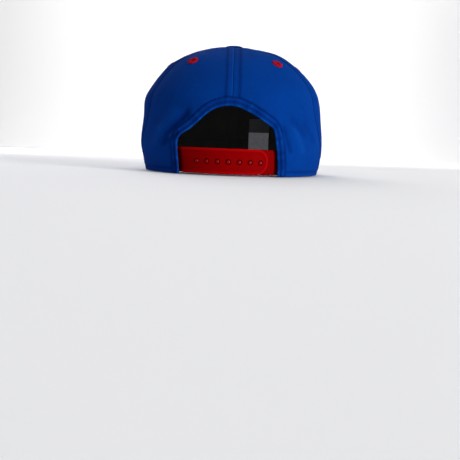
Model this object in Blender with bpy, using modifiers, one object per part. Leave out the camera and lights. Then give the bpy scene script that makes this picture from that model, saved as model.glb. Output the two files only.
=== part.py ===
"""A six-panel snapback cap with a flat peak, an open back arch and a plastic snap strap.

Metres, +Z up. The rim stands on z = 0, the peak points to -Y and the arch opens to +Y.
Left and right are the wearer's, so left is +X. Angles are in degrees round the crown, from the
middle of the back towards the left. Insets are measured inwards from the crown's outer face.
"""

import math
from collections import namedtuple

import bmesh
import bpy
from mathutils import Vector

# The crown
CROWN_HEIGHT = 0.115
CROWN_HALF_WIDTH = 0.0853
CROWN_BACK_DEPTH = 0.098
CROWN_FRONT_DEPTH = 0.099
PANEL_THICKNESS = 0.0014
PANEL_BELLY = 0.0008
FOLD_WIDTH = 0.0060
FOLD_DEPTH = 0.0012
FOLD_FADE = 0.12
PIECE_GAP = 0.0003
SEAM_GAP = 0.0004
RIM_TRIM = 0.0012

# The back arch and its folded edge
ARCH_WIDTH = 0.081
ARCH_HEIGHT = 0.0552
ARCH_RADIUS = 0.011
BINDING_WIDTH = 0.0068
BINDING_PROUD = 0.0004
BINDING_EDGE_SHARE = 0.3

# The snap strap
STRAP_HEIGHT = 0.020
STRAP_THICKNESS = 0.0012
STRAP_RISE = 0.0010
STRAP_TUCK = 0.014
STRAP_TIP_SETBACK = 0.0114
STRAP_TIP_LENGTH = 0.0085
STRAP_TIP_FULLNESS = 0.8
STRAP_TAIL = 0.009
STRAP_STEP = 0.009
STRAP_STEP_SETBACK = 0.0009
STUD_COUNT = 7
STUD_PITCH = 0.0092
STUD_FROM_TIP = 0.0064
STUD_RADIUS = 0.0017
STUD_PROUD = 0.0009
STUD_CLEARANCE = 0.0005

# The layers inside
LINING_THICKNESS = 0.0010
LINING_BOTTOM = 0.0080
LINING_TOP = 0.082
SWEATBAND_THICKNESS = 0.0012
SWEATBAND_BOTTOM = 0.0005
SWEATBAND_TOP = 0.032
SWEATBAND_SETBACK = 0.008
LABEL_WIDTH = 0.023
LABEL_BOTTOM = 0.020
LABEL_TOP = 0.056
LABEL_THICKNESS = 0.0010
LABEL_OFF_MIDDLE = 0.032

# The peak
PEAK_LENGTH = 0.070
PEAK_HALF_WIDTH = 0.0905
PEAK_THICKNESS = 0.0032
PEAK_RISE = 0.0030
PEAK_HALF_ANGLE = 66.0
PEAK_WIDEST_AHEAD = 0.072
PEAK_HOOK_LENGTH = 0.046
PEAK_END_TURN = 122.0
PEAK_SQUARENESS = 2.35
PEAK_EDGE = 0.0009
RIM_RAMP_START = 1.0
RIM_RAMP_ANGLE = 3.5

# The button and the eyelets
BUTTON_RADIUS = 0.0077
BUTTON_HEIGHT = 0.0022
BUTTON_FLAT_RADIUS = 0.0072
BUTTON_LIP = 0.00095
BUTTON_SHANK_RADIUS = 0.0022
BUTTON_CLEARANCE = 0.0009
EYELET_RADIUS = 0.0047
EYELET_HOLE_RADIUS = 0.0014
EYELET_BARREL_RADIUS = 0.0027
EYELET_RELIEF = 0.0011

# How finely each piece is cut up
PANEL_COLUMNS = 9
PANEL_ROWS = 15
BACK_COLUMNS = 12
ARCH_ROWS = 14
SEAM_ROWS = 9
PEAK_COLUMNS = 26
PEAK_ROWS = 5
ROUND_SIDES = 14

# Horizontal sections of the crown from the rim, level 0, to the apex, level 1: shares of its
# height, half width, back depth and front depth, and how far the sides and the middle lean to the
# left as shares of the half width. The last row mirrors the one before the apex.
Section = namedtuple("Section", "level height side back front lean middle")
CROWN_SECTIONS = (
    Section(0.0, 0.000, 0.946, 1.000, 0.985, -0.014, -0.0140),
    Section(0.1, 0.091, 0.974, 1.002, 0.996, -0.014, -0.0140),
    Section(0.2, 0.233, 1.000, 0.996, 1.000, -0.007, -0.0070),
    Section(0.3, 0.415, 0.976, 0.950, 0.985, -0.007, -0.0070),
    Section(0.4, 0.567, 0.956, 0.868, 0.955, 0.000, -0.0038),
    Section(0.5, 0.664, 0.899, 0.785, 0.915, -0.013, -0.0036),
    Section(0.6, 0.760, 0.810, 0.670, 0.850, -0.013, -0.0035),
    Section(0.7, 0.856, 0.680, 0.520, 0.730, -0.004, -0.0033),
    Section(0.8, 0.946, 0.470, 0.310, 0.480, -0.026, -0.0028),
    Section(0.9, 0.992, 0.200, 0.142, 0.225, -0.006, -0.0015),
    Section(1.0, 1.000, 0.000, 0.000, 0.000, 0.000, 0.0000),
    Section(1.1, 0.992, -0.200, -0.142, -0.225, 0.006, 0.0015),
)

# Where the two side seams run: their angle at each share of the crown's height.
SeamRow = namedtuple("SeamRow", "height back_side side_front")
SEAM_LINES = (
    SeamRow(0.00, 80.0, 128.0),
    SeamRow(0.20, 76.0, 126.0),
    SeamRow(0.35, 69.5, 123.0),
    SeamRow(0.50, 65.0, 121.0),
    SeamRow(0.65, 64.5, 120.5),
    SeamRow(1.00, 60.0, 120.0),
)

# The arch's corners on each side, from the rim to its flat top: shares of half its width, of its
# height and of ARCH_RADIUS.
ArchCorner = namedtuple("ArchCorner", "across height radius")
ARCH_LEFT = (
    ArchCorner(1.105, 0.000, 0.0),
    ArchCorner(1.057, 0.541, 0.8),
    ArchCorner(0.800, 0.655, 2.0),
    ArchCorner(0.305, 1.000, 2.6),
)
ARCH_RIGHT = (
    ArchCorner(1.000, 0.000, 0.0),
    ArchCorner(0.830, 0.690, 0.8),
    ArchCorner(0.360, 0.908, 4.0),
    ArchCorner(0.096, 1.000, 2.2),
)

# Folds in the cloth beside the arch: ends as angles and shares of the crown's height, widths and
# depths as shares of FOLD_WIDTH and FOLD_DEPTH. A negative depth is a valley.
Fold = namedtuple("Fold", "start_angle start_height end_angle end_height width depth")
FOLDS = (
    Fold(28.0, 0.448, 34.3, 0.374, 0.75, -1.30),
    Fold(38.4, 0.327, 41.9, 0.240, 0.75, -1.00),
    Fold(31.9, 0.307, 37.0, 0.246, 0.50, -0.50),
    Fold(46.0, 0.380, 58.0, 0.260, 1.50, -0.40),
    Fold(-29.4, 0.330, -31.8, 0.240, 0.50, -0.60),
    Fold(-35.0, 0.410, -44.3, 0.325, 0.65, -0.60),
    Fold(-45.7, 0.385, -55.0, 0.270, 0.75, -0.60),
    Fold(-38.0, 0.980, -58.0, 0.958, 0.60, -1.10),
)

# Middles of the eyelets, and how far both of a pair are turned to the left.
Eyelet = namedtuple("Eyelet", "name angle level shift")
EYELETS = (
    Eyelet("back", 36.3, 0.673, -1.4),
    Eyelet("side", 92.0, 0.690, 0.0),
    Eyelet("front", 146.0, 0.690, 0.0),
)

BINDING_THICKNESS = PANEL_THICKNESS + BINDING_PROUD
STRAP_INSET = BINDING_THICKNESS + PIECE_GAP
UNDER_STRAP_INSET = STRAP_INSET + STRAP_THICKNESS + PIECE_GAP
LINING_INSET = PANEL_THICKNESS + PIECE_GAP
SWEATBAND_INSET = max(STRAP_INSET + STRAP_THICKNESS, LINING_INSET + LINING_THICKNESS) + PIECE_GAP
STRAP_MIDDLE = STRAP_RISE + STRAP_HEIGHT / 2
PEAK_REACH = CROWN_FRONT_DEPTH * CROWN_SECTIONS[0].front + PEAK_LENGTH
BACK_REACH = CROWN_BACK_DEPTH * CROWN_SECTIONS[1].back - STRAP_INSET + STUD_PROUD
FRAME_Y = (PEAK_REACH - BACK_REACH) / 2
TOP_RING = CROWN_SECTIONS[9]
TOP_RING_SHARE = (BUTTON_SHANK_RADIUS + BUTTON_CLEARANCE) / (CROWN_BACK_DEPTH * TOP_RING.back)
CROWN_TOP_LEVEL = 1 - (1 - TOP_RING.level) * TOP_RING_SHARE

BLUE = (0.005, 0.050, 0.290, 1.0)
RED = (0.42, 0.004, 0.008, 1.0)
BLACK = (0.006, 0.006, 0.007, 1.0)
GREY = (0.14, 0.14, 0.15, 1.0)


def follow(rows, column, position):
    """Read a column of a table smoothly at a position along its first column."""
    keys = [row[0] for row in rows]
    values = [getattr(row, column) for row in rows]
    last = len(rows) - 1
    index = 0
    while index < last - 1 and keys[index + 1] <= position:
        index += 1
    span = keys[index + 1] - keys[index]
    share = (position - keys[index]) / span

    def slope(row):
        before = max(row - 1, 0)
        after = min(row + 1, last)
        return (values[after] - values[before]) / (keys[after] - keys[before]) * span

    start, end = values[index], values[index + 1]
    start_slope, end_slope = slope(index), slope(index + 1)
    square, cube = share * share, share * share * share
    return (
        start * (2 * cube - 3 * square + 1)
        + start_slope * (cube - 2 * square + share)
        + end * (3 * square - 2 * cube)
        + end_slope * (cube - square)
    )


def smoothstep(share):
    share = min(max(share, 0.0), 1.0)
    return share * share * (3 - 2 * share)


def level_at(height):
    """The crown's level at a height in metres."""
    low, high = -0.1, 1.0
    for _ in range(30):
        middle = (low + high) / 2
        if follow(CROWN_SECTIONS, "height", middle) * CROWN_HEIGHT < height:
            low = middle
        else:
            high = middle
    return (low + high) / 2


def crown_surface(angle, level):
    """A point of the crown's outer face, without its relief."""
    turn = math.radians(angle)
    half_width = CROWN_HALF_WIDTH * follow(CROWN_SECTIONS, "side", level)
    side_share = math.sin(turn) ** 2
    lean = follow(CROWN_SECTIONS, "lean", level) * side_share
    lean += follow(CROWN_SECTIONS, "middle", level) * (1 - side_share)
    if math.cos(turn) > 0:
        depth = CROWN_BACK_DEPTH * follow(CROWN_SECTIONS, "back", level)
    else:
        depth = CROWN_FRONT_DEPTH * follow(CROWN_SECTIONS, "front", level)
    height = CROWN_HEIGHT * follow(CROWN_SECTIONS, "height", level)
    return Vector((CROWN_HALF_WIDTH * lean + half_width * math.sin(turn), depth * math.cos(turn), height))


def crown_normal(angle, level):
    step_angle, step_level = 0.2, 0.002
    across = crown_surface(angle + step_angle, level) - crown_surface(angle - step_angle, level)
    up = crown_surface(angle, level + step_level) - crown_surface(angle, level - step_level)
    return up.cross(across).normalized()


def seam_angles(level):
    """The angles of the seams from the middle of the back to the middle of the front."""
    height = follow(CROWN_SECTIONS, "height", level)
    back_side = follow(SEAM_LINES, "back_side", height)
    side_front = follow(SEAM_LINES, "side_front", height)
    return (0.0, back_side, side_front, 180.0)


def belly(angle, level):
    """How far the middle of a panel swells out between its seams."""
    seams = seam_angles(level)
    turn = abs(angle)
    for start, end in zip(seams, seams[1:]):
        if start <= turn <= end:
            swell = math.sin(math.pi * (turn - start) / (end - start))
            fade = smoothstep(level / 0.25) * smoothstep((1 - level) / 0.2)
            return PANEL_BELLY * swell * fade
    return 0.0


def folds(angle, level):
    """The height of the folds over the crown's surface, which fades over the top FOLD_FADE levels."""
    height = follow(CROWN_SECTIONS, "height", level) * CROWN_HEIGHT
    spot = Vector((math.radians(angle) * CROWN_HALF_WIDTH, height))
    total = 0.0
    for fold in FOLDS:
        start = Vector((math.radians(fold.start_angle) * CROWN_HALF_WIDTH, fold.start_height * CROWN_HEIGHT))
        end = Vector((math.radians(fold.end_angle) * CROWN_HALF_WIDTH, fold.end_height * CROWN_HEIGHT))
        along = end - start
        share = min(max((spot - start).dot(along) / along.length_squared, 0.0), 1.0)
        away = (spot - start - along * share).length
        reach = fold.width * FOLD_WIDTH
        if away < 3 * reach:
            total += fold.depth * FOLD_DEPTH * math.exp(-(away / reach) ** 2)
    return total * smoothstep((1 - level) / FOLD_FADE)


def crown_point(angle, level, inset=0.0):
    relief = belly(angle, level) + folds(angle, level)
    return crown_surface(angle, level) + crown_normal(angle, level) * (relief - inset)


def band_point(angle, height, inset):
    """A point at a height in metres, inside the crown's smooth surface."""
    level = level_at(height)
    return crown_surface(angle, level) - crown_normal(angle, level) * inset


def angle_at_arc(arc, height=STRAP_MIDDLE):
    """The angle at a distance along the crown from the middle of the back."""
    level = level_at(height)
    step = 0.5
    angle, travelled = 0.0, 0.0
    here = crown_surface(angle, level)
    while True:
        there = crown_surface(angle + step, level)
        stride = (there - here).length
        if travelled + stride >= abs(arc):
            angle += step * (abs(arc) - travelled) / stride
            return math.copysign(angle, arc)
        travelled += stride
        angle += step
        here = there


def angle_for_length(length, angle, level):
    """The turn that covers a short length along the crown."""
    stride = (crown_surface(angle + 0.5, level) - crown_surface(angle - 0.5, level)).length
    return length / stride


def peak_underside(across):
    return PEAK_RISE * max(1 - (across / PEAK_HALF_WIDTH) ** 2, 0.0)


def rim_height(angle):
    """Where the crown's lower edge runs: on the floor, and over the peak at the front."""
    from_front = 180.0 - abs(angle)
    across = crown_surface(angle, 0.0).x
    over_peak = peak_underside(across) + PEAK_THICKNESS + PIECE_GAP
    drop = smoothstep((from_front - PEAK_HALF_ANGLE - RIM_RAMP_START) / RIM_RAMP_ANGLE)
    return over_peak * (1 - drop) - RIM_TRIM * drop


def rounded_path(corners, radii, arc_points=6):
    """A path through corners, with an arc of the given radius at each inner corner."""
    path = [Vector(corners[0])]
    for before, corner, after, radius in zip(corners, corners[1:], corners[2:], radii):
        corner = Vector(corner)
        back = (Vector(before) - corner).normalized()
        ahead = (Vector(after) - corner).normalized()
        half_angle = back.angle(ahead) / 2
        cut = radius / math.tan(half_angle)
        centre = corner + (back + ahead).normalized() * radius / math.sin(half_angle)
        start = corner + back * cut - centre
        sweep = -start.angle_signed(corner + ahead * cut - centre)
        for step in range(arc_points + 1):
            turn = math.atan2(start.y, start.x) + sweep * step / arc_points
            path.append(centre + Vector((math.cos(turn), math.sin(turn))) * radius)
    path.append(Vector(corners[-1]))
    return path


def resample(path, count):
    """Points spaced evenly along a path."""
    lengths = [0.0]
    for here, there in zip(path, path[1:]):
        lengths.append(lengths[-1] + (there - here).length)
    spaced = []
    for step in range(count + 1):
        goal = lengths[-1] * step / count
        index = 0
        while index < len(path) - 2 and lengths[index + 1] < goal:
            index += 1
        span = lengths[index + 1] - lengths[index]
        share = (goal - lengths[index]) / span
        spaced.append(path[index].lerp(path[index + 1], share))
    return spaced


def arch_path(side, offset, count):
    """Half of the arch's edge, from the rim to its middle, moved out into the cloth by an offset.

    Its points hold the distance round the crown and the height."""
    table = ARCH_LEFT if side > 0 else ARCH_RIGHT
    half = math.copysign(half_opening_arc(), side)
    corners = [Vector((half * corner.across, ARCH_HEIGHT * corner.height)) for corner in table]
    corners[0].y = -RIM_TRIM
    corners.append(Vector((-corners[-1].x, ARCH_HEIGHT)))
    whole = rounded_path(corners, [ARCH_RADIUS * corner.radius for corner in table[1:]])
    edge = [point for point in whole if point.x * side > 0]
    edge.append(Vector((0.0, ARCH_HEIGHT)))
    edge = resample(edge, count)
    moved = []
    for index, point in enumerate(edge):
        before = edge[max(index - 1, 0)]
        after = edge[min(index + 1, count)]
        along = (after - before).normalized()
        outwards = Vector((along.y, -along.x)) * side
        if index == count:
            outwards = Vector((0.0, 1.0))
        moved.append(point + outwards * offset)
    return moved


def half_opening_arc():
    """Half of the arch's width, measured along the crown."""
    level = level_at(STRAP_MIDDLE)
    half_width = CROWN_HALF_WIDTH * follow(CROWN_SECTIONS, "side", level)
    goal = math.degrees(math.asin(ARCH_WIDTH / 2 / half_width))
    steps = 40
    spots = [crown_surface(goal * step / steps, level) for step in range(steps + 1)]
    return sum((there - here).length for here, there in zip(spots, spots[1:]))


def strap_tip_arc():
    """Where the outer strap's round tip ends, to the right of the middle."""
    return STRAP_TIP_SETBACK - half_opening_arc()


def stud_arc(index):
    """Where a stud stands along the strap, counted from the tip."""
    return strap_tip_arc() + STUD_FROM_TIP + index * STUD_PITCH


def material(name, colour, roughness, metallic=0.0):
    made = bpy.data.materials.new(name)
    made.use_nodes = True
    shader = made.node_tree.nodes["Principled BSDF"]
    shader.inputs["Base Color"].default_value = colour
    shader.inputs["Roughness"].default_value = roughness
    shader.inputs["Metallic"].default_value = metallic
    return made


class Cap:
    """The collections, the frame and the materials that the pieces share."""

    def __init__(self):
        scene = bpy.context.scene.collection
        self.parts = bpy.data.collections.new("racing_cap")
        self.cutters = bpy.data.collections.new("cutters")
        scene.children.link(self.parts)
        scene.children.link(self.cutters)
        self.frame = bpy.data.objects.new("cap_frame", None)
        self.frame.location = (0.0, FRAME_Y, 0.0)
        self.parts.objects.link(self.frame)
        self.twill = material("blue_twill", BLUE, 0.85)
        self.plastic = material("red_plastic", RED, 0.38)
        self.thread = material("red_thread", RED, 0.7)
        self.lining = material("black_cloth", BLACK, 0.9)
        self.label = material("grey_label", GREY, 0.6)

    def add(self, name, mesh, surface):
        made = bpy.data.objects.new(name, mesh)
        mesh.materials.append(surface)
        made.parent = self.frame
        self.parts.objects.link(made)
        return made

    def add_cutter(self, name, mesh):
        made = bpy.data.objects.new(name, mesh)
        made.parent = self.frame
        made.hide_render = True
        made.display_type = "WIRE"
        self.cutters.objects.link(made)
        return made


def sheet_mesh(name, rows, outwards):
    """An open sheet through rows of points, its faces turned to the outwards direction."""
    mesh = bpy.data.meshes.new(name)
    sheet = bmesh.new()
    grid = [[sheet.verts.new(point) for point in row] for row in rows]
    for lower, upper in zip(grid, grid[1:]):
        for index in range(len(lower) - 1):
            sheet.faces.new((lower[index], lower[index + 1], upper[index + 1], upper[index]))
    sheet.normal_update()
    sheet.faces.ensure_lookup_table()
    middle = sheet.faces[len(sheet.faces) // 2]
    if middle.normal.dot(outwards) < 0:
        bmesh.ops.reverse_faces(sheet, faces=sheet.faces)
    sheet.to_mesh(mesh)
    sheet.free()
    mesh.shade_smooth()
    mesh.set_sharp_from_angle(angle=math.radians(40))
    return mesh


def thicken(piece, thickness):
    """Give a sheet its thickness, on its inner side."""
    shell = piece.modifiers.new("Thickness", "SOLIDIFY")
    shell.thickness = thickness
    shell.offset = -1.0


def cut(piece, cutter, name):
    boolean = piece.modifiers.new(name, "BOOLEAN")
    boolean.operation = "DIFFERENCE"
    boolean.solver = "EXACT"
    boolean.object = cutter


def place_on_crown(piece, angle, level):
    """Stand a piece on the crown's outer face, its Z axis outwards."""
    piece.location = crown_point(angle, level)
    piece.rotation_mode = "QUATERNION"
    piece.rotation_quaternion = crown_normal(angle, level).to_track_quat("Z", "Y")


def turned_piece(cap, name, profile, closed, surface):
    """A profile of radius and height points, turned round Z."""
    mesh = bpy.data.meshes.new(name)
    points = [(radius, 0.0, height) for radius, height in profile]
    edges = [(index, index + 1) for index in range(len(points) - 1)]
    if closed:
        edges.append((len(points) - 1, 0))
    mesh.from_pydata(points, edges, [])
    piece = cap.add(name, mesh, surface)
    screw = piece.modifiers.new("Turn", "SCREW")
    screw.steps = ROUND_SIDES
    screw.render_steps = ROUND_SIDES
    screw.use_merge_vertices = True
    screw.merge_threshold = 0.0001
    screw.use_smooth_shade = True
    return piece


def cylinder_mesh(name, radius, depth, centre=Vector(), direction=Vector((0, 0, 1)), sides=ROUND_SIDES):
    mesh = bpy.data.meshes.new(name)
    shape = bmesh.new()
    turn = direction.to_track_quat("Z", "Y").to_matrix().to_4x4()
    turn.translation = centre
    bmesh.ops.create_cone(
        shape, cap_ends=True, segments=sides, radius1=radius, radius2=radius, depth=depth, matrix=turn
    )
    shape.to_mesh(mesh)
    shape.free()
    return mesh


def seam_edge(seam, side, level, towards):
    """The angle of a panel's edge beside a seam, half the seam's gap towards its own side."""
    angle = seam_angles(level)[seam]
    return side * (angle + towards * angle_for_length(SEAM_GAP / 2, angle, level))


def column_shares(seam):
    """Where a panel's columns stand between its seams, with one at each end of the rim's ramp."""
    start, end = seam_angles(0.0)[seam:seam + 2]
    ramp_end = 180.0 - PEAK_HALF_ANGLE - RIM_RAMP_START
    stops = [start, ramp_end - RIM_RAMP_ANGLE, ramp_end, end]
    if not start < stops[1] < ramp_end < end:
        stops = [start, end]
    angles = [start]
    for low, high in zip(stops, stops[1:]):
        count = max(round(PANEL_COLUMNS * (high - low) / (end - start)), 1)
        angles += [low + (high - low) * step / count for step in range(1, count + 1)]
    return [(angle - start) / (end - start) for angle in angles]


def panel_rows(side, seam):
    """Rows of points of a side or front panel, between a seam and the next one."""
    rows = []
    shares = column_shares(seam)
    for row in range(PANEL_ROWS + 1):
        points = []
        for share in shares:
            foot = seam_angles(0.0)
            bottom = level_at(rim_height(foot[seam] + (foot[seam + 1] - foot[seam]) * share))
            level = bottom + (CROWN_TOP_LEVEL - bottom) * row / PANEL_ROWS
            start = seam_edge(seam, side, level, 1)
            end = seam_edge(seam + 1, side, level, -1)
            points.append(crown_point(start + (end - start) * share, level))
        rows.append(points)
    return rows


def back_panel_rows(side):
    """Rows of points of a back panel, fanned out from the arch and the centre seam."""
    edge = []
    for arc, height in arch_path(side, BINDING_WIDTH + PIECE_GAP, ARCH_ROWS):
        edge.append((angle_at_arc(arc), level_at(height)))
    arch_top = edge[-1][1]
    edge[-1] = (seam_edge(0, side, arch_top, 1), arch_top)
    bottom = level_at(-RIM_TRIM)
    outer = [bottom + (arch_top - bottom) * row / ARCH_ROWS for row in range(ARCH_ROWS + 1)]
    for row in range(1, SEAM_ROWS + 1):
        level = arch_top + (CROWN_TOP_LEVEL - arch_top) * row / SEAM_ROWS
        edge.append((seam_edge(0, side, level, 1), level))
        outer.append(level)
    rows = []
    for (edge_angle, edge_level), outer_level in zip(edge, outer):
        points = []
        for column in range(BACK_COLUMNS + 1):
            share = column / BACK_COLUMNS
            level = edge_level + (outer_level - edge_level) * smoothstep(share)
            outer_angle = seam_edge(1, side, level, -1)
            points.append(crown_point(edge_angle + (outer_angle - edge_angle) * share, level))
        rows.append(points)
    return rows


def make_floor_cutter(cap):
    """A slab under the floor plane, which trims the crown's lower edge flat."""
    size = 4 * CROWN_FRONT_DEPTH
    mesh = bpy.data.meshes.new("floor_cutter")
    slab = bmesh.new()
    bmesh.ops.create_cube(slab, size=size)
    bmesh.ops.translate(slab, verts=slab.verts, vec=(0.0, 0.0, -size / 2))
    slab.to_mesh(mesh)
    slab.free()
    return cap.add_cutter("floor_cutter", mesh)


def make_panels(cap, floor_cutter):
    reach = 6 * EYELET_RADIUS
    for side, side_name in ((1, "left"), (-1, "right")):
        for seam, (place, angle, level, shift) in enumerate(EYELETS):
            name = f"panel_{place}_{side_name}"
            rows = back_panel_rows(side) if place == "back" else panel_rows(side, seam)
            outwards = crown_normal(side * angle, 0.5)
            panel = cap.add(name, sheet_mesh(name, rows, outwards), cap.twill)
            thicken(panel, PANEL_THICKNESS)
            hole = cap.add_cutter(
                f"hole_{place}_{side_name}",
                cylinder_mesh("hole", EYELET_BARREL_RADIUS + PIECE_GAP, reach),
            )
            place_on_crown(hole, side * angle + shift, level)
            cut(panel, hole, "Eyelet hole")
            if place != "front":
                cut(panel, floor_cutter, "Rim trim")


def make_eyelets(cap):
    top = PIECE_GAP + EYELET_RELIEF
    lip = PIECE_GAP + EYELET_RELIEF / 2
    profile = (
        (EYELET_HOLE_RADIUS, lip),
        ((EYELET_HOLE_RADIUS + EYELET_BARREL_RADIUS) / 2, top),
        ((EYELET_RADIUS + EYELET_BARREL_RADIUS) / 2, top),
        (EYELET_RADIUS, lip),
        (EYELET_RADIUS, PIECE_GAP),
        (EYELET_BARREL_RADIUS, PIECE_GAP),
        (EYELET_BARREL_RADIUS, -PANEL_THICKNESS),
        (EYELET_HOLE_RADIUS, -PANEL_THICKNESS),
    )
    for side, side_name in ((1, "left"), (-1, "right")):
        for place, angle, level, shift in EYELETS:
            eyelet = turned_piece(cap, f"eyelet_{place}_{side_name}", profile, True, cap.thread)
            place_on_crown(eyelet, side * angle + shift, level)


def make_button(cap):
    """A cloth-covered button with a short shank through the hole at the crown's top."""
    seat = PIECE_GAP
    profile = [(0.0, seat + BUTTON_HEIGHT)]
    steps = 5
    for step in range(1, steps + 1):
        turn = math.radians(90 * step / steps)
        height = seat + BUTTON_LIP + (BUTTON_HEIGHT - BUTTON_LIP) * math.cos(turn)
        profile.append((BUTTON_RADIUS * math.sin(turn), height))
    profile += [
        (BUTTON_FLAT_RADIUS, seat),
        (BUTTON_SHANK_RADIUS, seat),
        (BUTTON_SHANK_RADIUS, -PANEL_THICKNESS),
        (0.0, -PANEL_THICKNESS),
    ]
    button = turned_piece(cap, "top_button", profile, False, cap.twill)
    button.location = (0.0, 0.0, CROWN_HEIGHT)


def make_binding(cap, floor_cutter):
    """The folded edge round the arch, a little prouder in its middle than at its sides."""
    rows = []
    strips = (
        (0.0, 0.0),
        (BINDING_EDGE_SHARE, BINDING_PROUD),
        (1 - BINDING_EDGE_SHARE, BINDING_PROUD),
        (1.0, 0.0),
    )
    left = [arch_path(1, BINDING_WIDTH * share, ARCH_ROWS) for share, _ in strips]
    right = [arch_path(-1, BINDING_WIDTH * share, ARCH_ROWS)[-2::-1] for share, _ in strips]
    for index in range(len(left[0]) + len(right[0])):
        points = []
        for strip, (_, proud) in enumerate(strips):
            whole = left[strip] + right[strip]
            arc, height = whole[index]
            points.append(band_point(angle_at_arc(arc), height, -proud))
        rows.append(points)
    mesh = sheet_mesh("arch_binding", rows, Vector((0, 1, 0)))
    binding = cap.add("arch_binding", mesh, cap.twill)
    thicken(binding, BINDING_THICKNESS)
    cut(binding, floor_cutter, "Rim trim")


def strap_rows(stations):
    """Rows across a strap, from stations of distance, half height share and inset."""
    rows = []
    for arc, share, inset in stations:
        half = STRAP_HEIGHT / 2 * share
        angle = angle_at_arc(arc)
        heights = (STRAP_MIDDLE - half, STRAP_MIDDLE, STRAP_MIDDLE + half)
        rows.append([band_point(angle, height, inset) for height in heights])
    return rows


def stud_spots():
    """The middles of the studs and the directions that they point in."""
    spots = []
    for index in range(STUD_COUNT):
        angle = angle_at_arc(stud_arc(index))
        spots.append((angle, crown_normal(angle, level_at(STRAP_MIDDLE))))
    return spots


def make_snap_strap(cap):
    """The outer strap, from inside the left panel to its round tip, with a hole for each stud."""
    start = half_opening_arc() + STRAP_TUCK
    straight_end = strap_tip_arc() + STRAP_TIP_LENGTH
    count = 26
    stations = []
    for step in range(count + 1):
        arc = start + (straight_end - start) * step / count
        stations.append((arc, 1.0, STRAP_INSET))
    tip_steps = 6
    for step in range(1, tip_steps):
        turn = math.radians(90 * step / tip_steps)
        arc = straight_end - STRAP_TIP_LENGTH * math.sin(turn)
        stations.append((arc, math.cos(turn) ** STRAP_TIP_FULLNESS, STRAP_INSET))
    mesh = sheet_mesh("snap_strap", strap_rows(stations), Vector((0, 1, 0)))
    strap = cap.add("snap_strap", mesh, cap.plastic)
    thicken(strap, STRAP_THICKNESS)
    radius = STUD_RADIUS + STUD_CLEARANCE
    for index, (angle, outwards) in enumerate(stud_spots()):
        centre = band_point(angle, STRAP_MIDDLE, STRAP_INSET)
        mesh = cylinder_mesh("stud_hole", radius, 6 * STRAP_THICKNESS, centre, outwards, 12)
        cut(strap, cap.add_cutter(f"stud_hole_{index + 1}", mesh), f"Hole {index + 1}")


def make_stud_strap(cap):
    """The inner strap, from inside the right panel to past its last stud, which steps in under
    the outer strap's tip."""
    first = stud_arc(STUD_COUNT - 1) + STRAP_TAIL
    last = -(half_opening_arc() + STRAP_TUCK)
    step_start = strap_tip_arc() + STRAP_STEP_SETBACK
    count = 34
    stations = []
    for step in range(count + 1):
        arc = first + (last - first) * step / count
        share = smoothstep((step_start - arc) / STRAP_STEP)
        inset = UNDER_STRAP_INSET + (STRAP_INSET - UNDER_STRAP_INSET) * share
        stations.append((arc, 1.0, inset))
    mesh = sheet_mesh("stud_strap", strap_rows(stations), Vector((0, 1, 0)))
    strap = cap.add("stud_strap", mesh, cap.plastic)
    thicken(strap, STRAP_THICKNESS)
    root = STRAP_THICKNESS / 2
    length = root + PIECE_GAP + STRAP_THICKNESS + STUD_PROUD
    for index, (angle, outwards) in enumerate(stud_spots()):
        centre = band_point(angle, STRAP_MIDDLE, UNDER_STRAP_INSET) + outwards * (length / 2 - root)
        mesh = cylinder_mesh("stud", STUD_RADIUS, length, centre, outwards, 10)
        stud = cap.add_cutter(f"stud_{index + 1}", mesh)
        join = strap.modifiers.new(f"Stud {index + 1}", "BOOLEAN")
        join.operation = "UNION"
        join.solver = "EXACT"
        join.object = stud


def inner_band(cap, name, start, end, heights, columns, inset, thickness, surface, outwards):
    """A band of cloth on the inside of the crown, between two angles and two heights."""
    rows = []
    for height in heights:
        points = []
        for column in range(columns + 1):
            angle = start + (end - start) * column / columns
            points.append(band_point(angle, height, inset(height)))
        rows.append(points)
    band = cap.add(name, sheet_mesh(name, rows, outwards), surface)
    thicken(band, thickness)
    return band


def even_steps(start, end, count):
    return [start + (end - start) * step / count for step in range(count + 1)]


def make_inside(cap):
    front = Vector((0, -1, 0))
    inner_band(
        cap,
        "front_lining",
        seam_angles(0.0)[2],
        360.0 - seam_angles(0.0)[2],
        even_steps(LINING_BOTTOM, LINING_TOP, 6),
        12,
        lambda height: LINING_INSET,
        LINING_THICKNESS,
        cap.lining,
        front,
    )
    end = angle_at_arc(half_opening_arc() + SWEATBAND_SETBACK)
    inner_band(
        cap,
        "sweatband",
        end,
        360.0 - end,
        even_steps(SWEATBAND_BOTTOM, SWEATBAND_TOP, 3),
        42,
        lambda height: SWEATBAND_INSET,
        SWEATBAND_THICKNESS,
        cap.lining,
        front,
    )
    make_label(cap, front)


def make_label(cap, outwards):
    """A plain label, sewn to the lining at its top and hanging over the sweatband."""
    at_top = LINING_INSET + LINING_THICKNESS + PIECE_GAP
    at_band = SWEATBAND_INSET + SWEATBAND_THICKNESS + PIECE_GAP

    def inset(height):
        share = smoothstep((height - SWEATBAND_TOP - PIECE_GAP) / (LABEL_TOP - SWEATBAND_TOP))
        return at_band + (at_top - at_band) * share

    near = math.degrees(math.asin((LABEL_OFF_MIDDLE - LABEL_WIDTH / 2) / CROWN_HALF_WIDTH))
    far = math.degrees(math.asin((LABEL_OFF_MIDDLE + LABEL_WIDTH / 2) / CROWN_HALF_WIDTH))
    inner_band(
        cap,
        "inner_label",
        180.0 + near,
        180.0 + far,
        even_steps(LABEL_BOTTOM, LABEL_TOP, 6),
        4,
        inset,
        LABEL_THICKNESS,
        cap.label,
        outwards,
    )


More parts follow.
